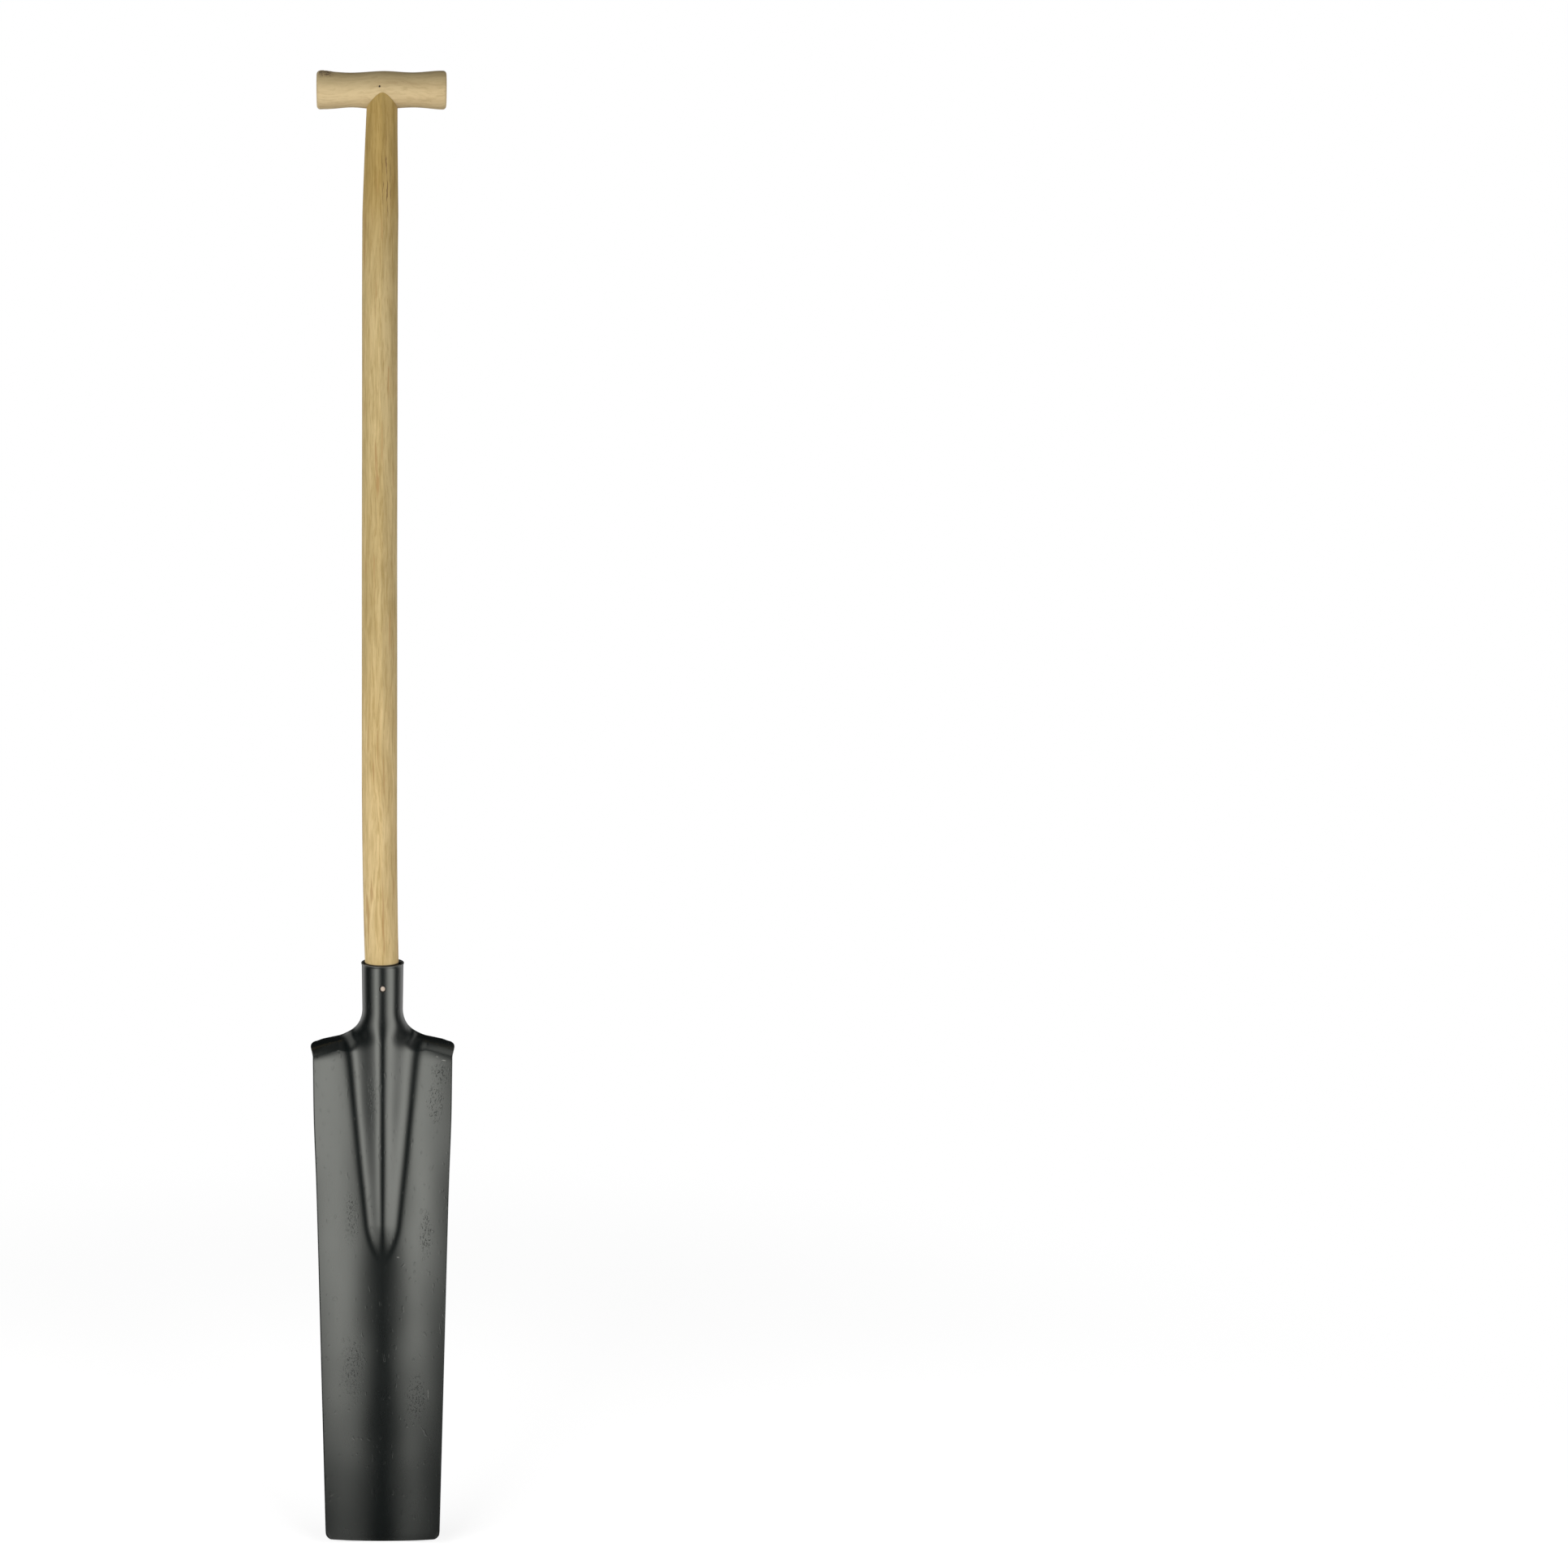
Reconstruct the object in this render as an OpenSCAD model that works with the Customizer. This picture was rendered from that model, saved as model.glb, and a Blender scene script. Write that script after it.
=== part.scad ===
// Trenching spade: pressed steel head, wooden shaft, turned cross grip and the brad that locks it.
// The middle of the cutting edge is the origin, the shaft runs up +Z and the hollow face looks to -Y.

/* [Blade] */
// Height from the cutting edge to the outer corners of the treads
blade_length = 520; // [300:1:650]
// Width of the blade just under the treads
blade_top_width = 141; // [110:1:200]
// Width of the blade at the cutting edge
blade_tip_width = 115; // [80:1:180]
// Thickness of the pressed sheet
sheet = 2; // [1.5:0.1:3]
// Depth of the hollow across the blade
dish_depth = 19; // [4:0.5:20]
// Forward lean of the blade against the shaft, in degrees
lift = 4.25; // [1:0.25:5]
// Drop of the middle of the cutting edge below its ends
edge_sag = 10; // [1:0.5:15]
// Radius of the two lower corners
tip_corner_radius = 5; // [2:0.5:12]
// Width of the ground bevel along the cutting edge
bevel_width = 4; // [2:0.5:10]
// Thickness left at the cutting edge
edge_thickness = 0.8; // [0.4:0.1:1.4]

/* [Ridge] */
// Length of the ridge below the tread corners, with its nose
ridge_length = 233; // [150:1:260]
// Length of the rounded nose at the lower end of the ridge
nose_length = 44; // [20:1:60]
// Height of the ridge over the bottom of the hollow, at the treads
ridge_height = 20; // [17:0.2:24]
// Width of the ridge at the treads
ridge_top_width = 96; // [64:1:110]
// Width of the ridge where its nose begins
ridge_nose_width = 46; // [30:1:56]

/* [Treads and neck] */
// Radius over which each tread rolls backward
tread_radius = 13; // [9:0.5:16]
// Rounding of each tread's outer corner
tread_corner_radius = 5; // [1:0.5:8]
// Rise of the treads towards the neck, in degrees
tread_slope = 9; // [4:1:16]
// Radius of the hollow curve from tread to socket, seen from the front
neck_radius = 30; // [20:1:36]

/* [Socket] */
// Height of the socket mouth over the tread corners
socket_height = 83; // [65:1:120]
// Outer diameter of the socket under its mouth
socket_mouth_d = 43.2; // [42:0.1:47]
// Outer diameter of the socket at the neck
socket_neck_d = 42; // [40:0.1:44]
// Turned-out lip of the mouth
mouth_lip = 0.6; // [0.2:0.1:1.5]
// Open seam along the back of the socket
seam_gap = 1.2; // [0.6:0.1:3]
// Diameter of the fixing hole
hole_d = 7; // [4:0.1:9]
// Distance of the fixing hole below the mouth
hole_below_mouth = 25; // [15:1:35]

/* [Shaft] */
// Height of the grip's axis over the socket mouth
handle_reach = 878; // [500:1:1200]
// Diameter of the shaft over most of its length
shaft_d = 36; // [34:0.1:38]
// Diameter of the shaft where it enters the socket
shaft_socket_d = 34.9; // [33:0.1:36.4]
// Length above the mouth over which the shaft swells to its full diameter
swell_length = 180; // [80:1:300]
// Depth of the shaft in the socket
insert_depth = 100; // [70:1:110]
// Length of the tapered lower end
end_taper_length = 50; // [30:1:60]
// Diameter of the lower end
shaft_end_d = 27; // [20:0.5:29]
// Width of the shaft under the grip, where its cheeks are shaved
shaft_top_width = 30; // [28:0.5:33.5]
// Length of the shaved cheeks below the grip's axis
cheek_length = 120; // [80:1:200]

/* [Grip] */
// Length of the grip
grip_length = 127; // [110:1:160]
// Diameter in the middle
grip_mid_d = 36.4; // [36:0.1:44]
// Diameter at the two waists
grip_waist_d = 33; // [30:0.1:36]
// Diameter at the flared ends
grip_end_d = 36.9; // [36:0.1:44]
// Distance of each waist from the middle
grip_waist_at = 30.5; // [26:0.5:38]
// Rounding of the end edges
grip_edge_radius = 3.4; // [2:0.1:6]

/* [Tenon and nail] */
// Diameter of the shaft's tenon
tenon_d = 20; // [16:0.5:24]
// Height of the tenon over the grip's axis
tenon_rise = 10; // [6:0.5:12]
// Diameter of the nail's shank
nail_d = 1.8; // [1.4:0.1:3]
// Diameter of the nail's head
nail_head_d = 2.6; // [2.4:0.1:5]
// Length of the nail
nail_length = 30; // [24:0.5:32]
// Place of the nail beside the middle of the grip
nail_offset = -3; // [-5:0.5:5]

/* [Fits] */
// Gap between the shaft and the front wall of the socket, at the neck
socket_clearance = 0.3; // [0.1:0.05:0.6]
// Gap round the tenon, and between the coped end and the grip
tenon_clearance = 0.15; // [0.05:0.05:0.3]
// Gap round the nail
nail_clearance = 0.05; // [0.02:0.01:0.1]

/* [Hidden] */
$fn = 96;
black_paint = [0.13, 0.14, 0.14];
shaft_wood = [0.82, 0.71, 0.49];
grip_wood = [0.80, 0.71, 0.55];
nail_steel = [0.35, 0.33, 0.31];
// Length by which a cutting shape passes the face that it cuts
past = 1;
// Step for slopes that are taken by difference
tiny = 0.01;
// Steps of the sheet's mesh: in the lower corner, along the tread, round the neck and over the roll
corner_steps = 4;
tread_steps = 4;
neck_steps = 12;
roll_steps = 28;
// Share by which the steps over the roll shorten towards the seam, where the socket can lie on the ground
roll_ease = 0.7;
// Power of the hollow's cross curve: 2 is a parabola, more bends the wings more than the middle
dish_power = 2;
// Power of the ridge's cross curve: over 1 makes a slimmer crest and softer valleys
ridge_power = 1.5;
// Share by which the roll reaches further over the neck than over the treads
neck_reach = 0.5;
// Height of the mouth's turned-out lip
lip_height = 2.5;

// Head frame: the socket's axis is x = 0, y = 0, and z = 0 lies at the tread corners
neck_r = socket_neck_d / 2;
mouth_r = socket_mouth_d / 2;
top_half = blade_top_width / 2;
tip_half = blade_tip_width / 2;
nose_from = ridge_length - nose_length;
// Front outline: corner of the tread, centre of the neck curve and end of the straight tread
corner_x = top_half + tread_radius * sin(tread_slope);
neck_x = neck_r + neck_radius;
neck_z = neck_radius / cos(tread_slope) + (corner_x - neck_x) * tan(tread_slope);
tread_end = [neck_x - neck_radius * sin(tread_slope), neck_z - neck_radius * cos(tread_slope)];
// Depth below the corners at which the neck begins to form out of the blade
blend_depth = 1.5 * tread_radius;
seam_angle = 90 - asin(seam_gap / 2 / neck_r);

// Place of the head frame in the part's frame
edge_y = hollow_y(-blade_length) + sheet - edge_thickness / 2;
head_place = [0, -edge_y, blade_length];
// The shaft bears on the front wall of the socket
shaft_lean = neck_r - sheet - socket_clearance - shaft_socket_d / 2;
shaft_place = head_place - [0, shaft_lean, 0];
grip_z = socket_height + handle_reach;
cheek_z = grip_z - cheek_length;

function smooth(t) = let (c = min(1, max(0, t))) c * c * (3 - 2 * c);
function mix(a, b, t) = a + (b - a) * t;
function unit(v) = v / norm(v);

// Bottom of the hollow at height z, which leans forward going down
function hollow_y(z) = ridge_height - neck_r + z * tan(lift);
// Half the blade's width at height z
function half_width(z) = mix(tip_half, top_half, (z + blade_length) / (blade_length - tread_radius));
// 1 on the blade, falling to 0 at the neck, where the sheet becomes the socket
function blade_share(z) = 1 - smooth((z + blend_depth) / (neck_z + blend_depth));
// Height and half width of the ridge
function ridge_lift(z) = (hollow_y(z) + neck_r) * (1 - smooth((-z - nose_from) / nose_length));
function nose_round(z) = sqrt(max(0, 1 - pow(max(0, -z - nose_from) / nose_length, 2)));
function ridge_half(z) = nose_round(z) * mix(ridge_top_width, ridge_nose_width, -z / nose_from) / 2;
function ridge_share(z) = 1 - smooth(z / neck_z);
function ridge_shape(s) = pow((1 + cos(180 * min(1, s))) / 2, ridge_power);
// Front face of the sheet before the treads are rolled: hollow, wings and ridge
function face_y(x, z) =
    hollow_y(z)
    - dish_depth * blade_share(z) * pow(abs(x) / half_width(z), dish_power)
    - ridge_lift(z) * ridge_shape(ridge_share(z) * abs(x) / max(tiny, ridge_half(z)));
function face_point(p) = [p[0], face_y(p[0], p[1]), p[1]];
function face_normal(p) = unit([
    (face_y(p[0] + tiny, p[1]) - face_y(p[0] - tiny, p[1])) / (2 * tiny),
    -1,
    (face_y(p[0], p[1] + tiny) - face_y(p[0], p[1] - tiny)) / (2 * tiny)]);

// Front outline for q from 0 to 2: the tread up to q = 1, then the neck curve up to the socket
function neck_angle(q) = mix(270 - tread_slope, 180, q - 1);
function outline(q) = q <= 1
    ? mix([corner_x, 0], tread_end, q)
    : [neck_x, neck_z] + neck_radius * inward(q);
function inward(q) = q <= 1
    ? [-sin(tread_slope), -cos(tread_slope)]
    : [cos(neck_angle(q)), sin(neck_angle(q))];
function roll_radius(q) = mix(tread_radius, neck_r, smooth(q - 1));
function roll_end(q) = -seam_angle * smooth(q - 1);
// Distance from the outline at which the roll begins: its radius, and more round the neck
function roll_reach(q) = roll_radius(q) * (1 + neck_reach * 2 * (2 - q) * sin(180 * max(0, q - 1)));
// Sideways inset that rounds the outer corner of each tread, seen square to the sheet
function corner_inset(q, turn) =
    let (c = tread_corner_radius, up = tread_radius * max(0, turn) * PI / 180)
    (c - sqrt(c * c - pow(max(0, c - up), 2))) * (1 - smooth(2 * q));
// The sheet rolls back from its front (turn = 90) over the outline (0) to the seam (near -90)
function roll_point(q, turn) =
    let (r = roll_radius(q), reach = turn > 0 ? roll_reach(q) : r)
    let (p = outline(q) + inward(q) * reach * (1 - cos(turn)))
    [p[0] - corner_inset(q, turn), face_y(p[0], p[1]) + r * (1 - sin(turn)), p[1]];
function roll_normal(q, turn) =
    let (a = max(0, q - tiny), b = min(2, q + tiny))
    unit(cross(
        roll_point(q, turn - 1) - roll_point(q, turn + 1),
        roll_point(b, turn) - roll_point(a, turn)));
function arch(q) = outline(q) + inward(q) * roll_reach(q);

// Lower outline: a shallow curve with rounded corners
function tip_corner(d) = tip_corner_radius - sqrt(max(0, pow(tip_corner_radius, 2) - pow(max(0, d), 2)));
function tip_z(x) =
    edge_sag * pow(x / tip_half, 2) - blade_length + tip_corner(abs(x) - tip_half + tip_corner_radius);

// Columns from the tread corner (first) to the middle (last), and rows from the edge up to the arch
corner_q = (tip_corner_radius / tip_half) * top_half / (arch(0)[0] - arch(1)[0]);
columns = concat(
    [for (i = [0 : corner_steps - 1]) corner_q * pow(i / corner_steps, 2)],
    [for (i = [0 : tread_steps - 1]) mix(corner_q, 1, i / tread_steps)],
    [for (i = [0 : neck_steps]) 1 + i / neck_steps]);
marks = [
    bevel_width - blade_length,
    -ridge_length - bevel_width,
    bevel_width - nose_from,
    -2 * blend_depth,
    neck_z];
mark_steps = [8, 10, 9, 9];
last_mark = len(marks) - 1;
heights = concat(
    [-blade_length],
    [for (m = [0 : last_mark - 1], i = [0 : mark_steps[m] - 1])
        mix(marks[m], marks[m + 1], i / mark_steps[m])],
    [marks[last_mark]]);
rows = [for (z = heights) (z + blade_length) / (neck_z + blade_length)];
last_column = len(columns) - 1;
arch_row = len(rows) - 1;
last_row = arch_row + roll_steps;

// Outer face of one half, column by column: up the blade, then over the roll
function blade_spot(k, i) =
    let (top = arch(columns[k]), x = top[0] * tip_half / top_half)
    mix([x, tip_z(x)], top, rows[i]);
function roll_share(u) = u + roll_ease * u * (1 - u);
function turn_at(k, i) = mix(90, roll_end(columns[k]), roll_share((i - arch_row) / roll_steps));
function half_point(k, i) = i <= arch_row
    ? face_point(blade_spot(k, i)) + (i == 0 ? [0, sheet - edge_thickness, 0] : [0, 0, 0])
    : roll_point(columns[k], turn_at(k, i));
function half_back(k, i) = i == 0
    ? face_point(blade_spot(k, 0)) + [0, sheet, 0]
    : i <= arch_row
    ? let (p = blade_spot(k, i)) face_point(p) - sheet * face_normal(p)
    : roll_point(columns[k], turn_at(k, i)) - sheet * roll_normal(columns[k], turn_at(k, i));
function flip(p) = [-p[0], p[1], p[2]];

// Rings of the socket above the neck, from the left seam round the front to the right seam
lip_from = socket_height - lip_height;
hole_z = socket_height - hole_below_mouth;
ring_heights = [mix(neck_z, lip_from, 1 / 3), mix(neck_z, lip_from, 2 / 3), lip_from, socket_height];
ring_count = len(ring_heights);
function socket_r(z) =
    mix(neck_r, mouth_r, (z - neck_z) / (socket_height - neck_z))
    + mouth_lip * smooth((z - lip_from) / lip_height);
function ring_turn(j) = mix(90, -seam_angle, roll_share(abs(j / roll_steps - 1)));
function ring_point(m, j, inset) =
    let (r = socket_r(ring_heights[m]) - inset, turn = ring_turn(j), side = j < roll_steps ? -1 : 1)
    [side * r * cos(turn), -r * sin(turn), ring_heights[m]];

// Both halves and the rings in one list of points; the middle column is shared up to the arch
half_count = (last_column + 1) * (last_row + 1);
left_count = half_count - arch_row - 1;
layer_count = half_count + left_count + ring_count * (2 * roll_steps + 1);
function right_index(k, i) = k * (last_row + 1) + i;
function left_index(k, i) = k == last_column
    ? (i <= arch_row ? right_index(k, i) : half_count + last_column * (last_row + 1) + i - arch_row - 1)
    : half_count + right_index(k, i);
function ring_index(m, j) = m > 0
    ? half_count + left_count + (m - 1) * (2 * roll_steps + 1) + j
    : j < roll_steps
    ? left_index(last_column, last_row - j)
    : right_index(last_column, arch_row + j - roll_steps);
function layer(right, ring) = concat(
    right,
    [for (k = [0 : last_column], i = [0 : last_row])
        if (k < last_column || i > arch_row) flip(right[right_index(k, i)])],
    ring);
sheet_points = concat(
    layer(
        [for (k = [0 : last_column], i = [0 : last_row]) half_point(k, i)],
        [for (m = [0 : ring_count - 1], j = [0 : 2 * roll_steps]) ring_point(m, j, 0)]),
    layer(
        [for (k = [0 : last_column], i = [0 : last_row]) half_back(k, i)],
        [for (m = [0 : ring_count - 1], j = [0 : 2 * roll_steps]) ring_point(m, j, sheet)]));

// Triangles of one layer, seen from the front, then the closed loop of its free edge
function two(a, b, c, d) = [[a, c, b], [a, d, c]];
layer_faces = [
    for (k = [0 : last_column - 1], i = [0 : last_row - 1])
        each two(right_index(k, i), right_index(k, i + 1), right_index(k + 1, i + 1), right_index(k + 1, i)),
    for (k = [0 : last_column - 1], i = [0 : last_row - 1])
        each two(left_index(k, i), left_index(k + 1, i), left_index(k + 1, i + 1), left_index(k, i + 1)),
    for (m = [0 : ring_count - 1], j = [0 : 2 * roll_steps - 1])
        each two(ring_index(m, j), ring_index(m, j + 1), ring_index(m + 1, j + 1), ring_index(m + 1, j))];
free_edge = concat(
    [for (k = [0 : last_column]) left_index(k, 0)],
    [for (k = [last_column - 1 : -1 : 0]) right_index(k, 0)],
    [for (i = [1 : last_row]) right_index(0, i)],
    [for (k = [1 : last_column]) right_index(k, last_row)],
    [for (m = [1 : ring_count]) ring_index(m, 2 * roll_steps)],
    [for (j = [2 * roll_steps - 1 : -1 : 0]) ring_index(ring_count, j)],
    [for (m = [ring_count - 1 : -1 : 1]) ring_index(m, 0)],
    [for (k = [last_column : -1 : 0]) left_index(k, last_row)],
    [for (i = [last_row - 1 : -1 : 1]) left_index(0, i)]);
edge_count = len(free_edge);
function behind(f) = [f[2], f[1], f[0]] + layer_count * [1, 1, 1];
sheet_faces = concat(
    layer_faces,
    [for (f = layer_faces) behind(f)],
    [for (n = [0 : edge_count - 1])
        let (a = free_edge[n], b = free_edge[(n + 1) % edge_count])
        each two(b, a, a + layer_count, b + layer_count)]);

// Grip profile: full in the middle, drawn in at the waists, flared at the rounded ends
grip_half = grip_length / 2;
flare_end = grip_half - grip_edge_radius;
function grip_r(x) = x <= grip_waist_at
    ? mix(grip_mid_d, grip_waist_d, smooth(x / grip_waist_at)) / 2
    : mix(grip_waist_d, grip_end_d, smooth((x - grip_waist_at) / (flare_end - grip_waist_at))) / 2;
profile_steps = 28;
edge_steps = 8;
grip_side = [for (i = [0 : profile_steps]) let (x = flare_end * i / profile_steps) [grip_r(x), x]];
grip_edge = [for (i = [1 : edge_steps])
    let (a = 90 * i / edge_steps)
    [grip_end_d / 2 - grip_edge_radius * (1 - cos(a)), flare_end + grip_edge_radius * sin(a)]];
grip_upper = concat(grip_side, grip_edge);
grip_outline = concat(
    [[0, -grip_half]],
    [for (i = [len(grip_upper) - 1 : -1 : 1]) [grip_upper[i][0], -grip_upper[i][1]]],
    grip_upper,
    [[0, grip_half]]);
nail_front = -grip_r(abs(nail_offset));
nail_head_h = nail_head_d / 2;

module head() {
    color(black_paint)
    translate(head_place)
    difference() {
        polyhedron(points = sheet_points, faces = sheet_faces, convexity = 10);
        translate([0, 0, hole_z])
        rotate([90, 0, 0])
        cylinder(d = hole_d, h = mouth_r + mouth_lip + past);
    }
}

module grip_body() {
    rotate([0, 90, 0])
    rotate_extrude()
    polygon(grip_outline);
}

// Nail along +Y, with its head flush with the front of the grip
module nail_shape(gap) {
    translate([nail_offset, nail_front, 0])
    rotate([-90, 0, 0]) {
        cylinder(d = nail_d + 2 * gap, h = nail_length + gap);
        cylinder(d1 = nail_head_d + 2 * gap, d2 = nail_d + 2 * gap, h = nail_head_h);
    }
}

// Hole for the nail, open at the front of the grip
module nail_hole() {
    nail_shape(nail_clearance);
    translate([nail_offset, nail_front, 0])
    rotate([90, 0, 0])
    cylinder(d = nail_head_d + 2 * nail_clearance, h = past);
}

module tenon(gap) {
    translate([0, 0, -grip_mid_d])
    cylinder(d = tenon_d + 2 * gap, h = grip_mid_d + tenon_rise + gap);
}

// Turned stick from its lower end up to the shaved cheeks
module stick() {
    end_z = socket_height - insert_depth;
    rotate_extrude()
    polygon([
        [0, end_z],
        [shaft_end_d / 2, end_z],
        [shaft_socket_d / 2, end_z + end_taper_length],
        [shaft_socket_d / 2, socket_height],
        [shaft_d / 2, socket_height + swell_length],
        [shaft_d / 2, cheek_z],
        [0, cheek_z]]);
}

// Upper end of the stick: its left and right cheeks are shaved so that they lean together
module cheeks() {
    lean = atan((shaft_d - shaft_top_width) / 2 / cheek_length);
    intersection() {
        cylinder(d = shaft_d, h = cheek_length);
        shaved(lean);
        shaved(-lean);
    }
}

module shaved(lean) {
    rotate([0, lean, 0])
    translate([0, 0, -past])
    cylinder(d = shaft_d + 2 * tiny, h = cheek_length + 2 * past);
}

module shaft() {
    color(shaft_wood)
    translate(shaft_place)
    difference() {
        union() {
            stick();
            difference() {
                translate([0, 0, cheek_z])
                cheeks();
                translate([0, 0, grip_z])
                cope();
            }
            translate([0, 0, grip_z])
            tenon(0);
        }
        translate([0, 0, grip_z])
        nail_hole();
    }
}

// Grip with its clearance, as it is cut out of the shaft's upper end
module cope() {
    rotate([0, 90, 0])
    rotate_extrude()
    polygon([for (p = grip_outline) [p[0] > 0 ? p[0] + tenon_clearance : 0, p[1]]]);
}

module grip() {
    color(grip_wood)
    translate(shaft_place + [0, 0, grip_z])
    difference() {
        grip_body();
        tenon(tenon_clearance);
        nail_hole();
    }
}

module grip_nail() {
    color(nail_steel)
    translate(shaft_place + [0, 0, grip_z])
    nail_shape(0);
}

head();
shaft();
grip();
grip_nail();
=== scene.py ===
"""Trenching spade: a pressed and painted steel head on a wooden shaft with a turned cross grip.

Head, shaft and grip are surfaces worked out with numpy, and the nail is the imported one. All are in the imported
part's own frame, in metres: the middle of the cutting edge is the origin, the shaft runs up +Z and the hollow
face of the blade looks to -Y.
"""

import math

import bpy
import numpy as np
from bpy.props import FloatProperty, FloatVectorProperty, PointerProperty
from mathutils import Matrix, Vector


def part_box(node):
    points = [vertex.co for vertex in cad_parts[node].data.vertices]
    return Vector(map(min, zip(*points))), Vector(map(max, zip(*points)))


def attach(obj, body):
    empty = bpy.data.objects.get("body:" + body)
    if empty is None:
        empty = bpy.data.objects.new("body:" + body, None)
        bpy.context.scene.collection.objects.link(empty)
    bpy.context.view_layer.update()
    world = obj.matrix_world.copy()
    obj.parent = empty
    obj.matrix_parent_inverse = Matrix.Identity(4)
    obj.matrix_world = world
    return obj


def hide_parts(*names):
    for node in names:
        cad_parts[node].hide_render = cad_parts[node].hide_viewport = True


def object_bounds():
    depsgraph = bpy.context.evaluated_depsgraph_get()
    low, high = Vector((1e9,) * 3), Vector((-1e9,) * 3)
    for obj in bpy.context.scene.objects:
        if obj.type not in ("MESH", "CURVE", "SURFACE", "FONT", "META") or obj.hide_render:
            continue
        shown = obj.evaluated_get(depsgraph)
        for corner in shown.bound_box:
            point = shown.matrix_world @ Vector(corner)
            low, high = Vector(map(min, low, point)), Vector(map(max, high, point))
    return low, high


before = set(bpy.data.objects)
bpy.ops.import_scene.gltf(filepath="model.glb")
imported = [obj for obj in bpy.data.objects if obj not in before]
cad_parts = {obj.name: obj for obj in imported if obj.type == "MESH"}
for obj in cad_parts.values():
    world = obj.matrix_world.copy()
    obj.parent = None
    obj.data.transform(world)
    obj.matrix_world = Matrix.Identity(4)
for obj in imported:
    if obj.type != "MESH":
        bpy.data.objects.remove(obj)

bl_info = {
    "name": "Trenching Spade",
    "version": (1, 0, 0),
    "blender": (4, 5, 0),
    "location": "3D View > Sidebar > Spade",
    "description": "Builds a trenching spade and a white studio round its packed solids",
    "category": "Object",
}

CAD_BOX = [list(corner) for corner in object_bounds()]
HEAD_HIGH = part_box("head")[1]
FOOT_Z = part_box("shaft")[0].z
GRIP_LOW, GRIP_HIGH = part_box("grip")
NAIL_LOW, NAIL_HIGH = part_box("grip_nail")
GRIP_MIDDLE = (GRIP_LOW + GRIP_HIGH) / 2
NAIL_X = (NAIL_LOW.x + NAIL_HIGH.x) / 2
NAIL_Z = (NAIL_LOW.z + NAIL_HIGH.z) / 2
MOUTH_Z = HEAD_HIGH.z


def length(name, description, default):
    """A size in metres with a tenth of a millimetre shown."""
    return FloatProperty(name=name, description=description, default=default, min=0.0, unit="LENGTH", precision=4)


def angle(name, description, degrees):
    """An angle that is written in degrees and kept in radians."""
    return FloatProperty(name=name, description=description, default=math.radians(degrees), unit="ROTATION")


def share(name, description, default):
    """A plain number."""
    return FloatProperty(name=name, description=description, default=default, min=0.0)


def colour(name, description, default):
    """A linear colour."""
    return FloatVectorProperty(
        name=name, description=description, default=default, size=3, min=0.0, max=1.0, subtype="COLOR"
    )


class SpadeHeadSizes(bpy.types.PropertyGroup):
    """Sizes of the pressed head."""

    socket_height: length("Socket height", "Height of the socket mouth over the tread corners", 0.083)
    top_width: length("Top width", "Width of the blade just under the treads", 0.141)
    tip_width: length("Tip width", "Width of the blade at the cutting edge", 0.115)
    sheet: length("Sheet", "Thickness of the pressed sheet", 0.002)
    dish_depth: length("Dish depth", "Depth of the hollow across the blade", 0.019)
    dish_power: share("Dish power", "Power of the hollow's cross curve", 2.0)
    lift: angle("Lift", "Forward lean of the blade against the shaft", 4.25)
    edge_sag: length("Edge sag", "Drop of the middle of the cutting edge below its ends", 0.010)
    tip_corner: length("Tip corner", "Radius of the two lower corners", 0.005)
    bevel_width: length("Bevel width", "Width of the ground bevel along the cutting edge", 0.004)
    edge_thickness: length("Edge thickness", "Thickness left at the cutting edge", 0.0008)
    ridge_length: length("Ridge length", "Length of the ridge below the tread corners", 0.233)
    nose_length: length("Nose length", "Length of the ridge's rounded lower end", 0.044)
    ridge_height: length("Ridge height", "Height of the ridge over the hollow, at the treads", 0.020)
    ridge_top_width: length("Ridge top width", "Width of the ridge at the treads", 0.096)
    ridge_nose_width: length("Ridge nose width", "Width of the ridge where its nose begins", 0.046)
    ridge_power: share("Ridge power", "Power of the ridge's cross curve", 1.5)
    neck_reach: share("Neck reach", "Share by which the roll reaches further over the neck", 0.5)
    tread_radius: length("Tread radius", "Radius over which each tread rolls backward", 0.013)
    tread_slope: angle("Tread slope", "Rise of the treads towards the neck", 9.0)
    tread_corner: length("Tread corner", "Rounding of each tread's outer corner in the front view", 0.004)
    neck_radius: length("Neck radius", "Radius of the hollow curve from tread to socket", 0.030)
    mouth_d: length("Mouth diameter", "Outer diameter of the socket under its mouth", 0.0432)
    neck_d: length("Neck diameter", "Outer diameter of the socket at the neck", 0.042)
    mouth_lip: length("Mouth lip", "Turned-out lip of the mouth", 0.0006)
    lip_height: length("Lip height", "Height of the turned-out lip", 0.0025)
    mouth_slant: length("Mouth slant", "Drop of the mouth from its back to its front", 0.0022)
    side_swell: length("Side swell", "Swell of the blade's upper sides", 0.0011)
    tread_ears: length("Tread ears", "Spread of the outer ends of the treads", 0.0020)
    seam_gap: length("Seam gap", "Open seam along the back of the socket", 0.0012)
    hole_d: length("Hole diameter", "Diameter of the fixing hole", 0.007)
    hole_below_mouth: length("Hole below mouth", "Distance of the fixing hole below the mouth", 0.025)
    ripple: length("Ripple", "Height of the shallow waves that pressing leaves in the sheet", 0.00008)


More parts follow.
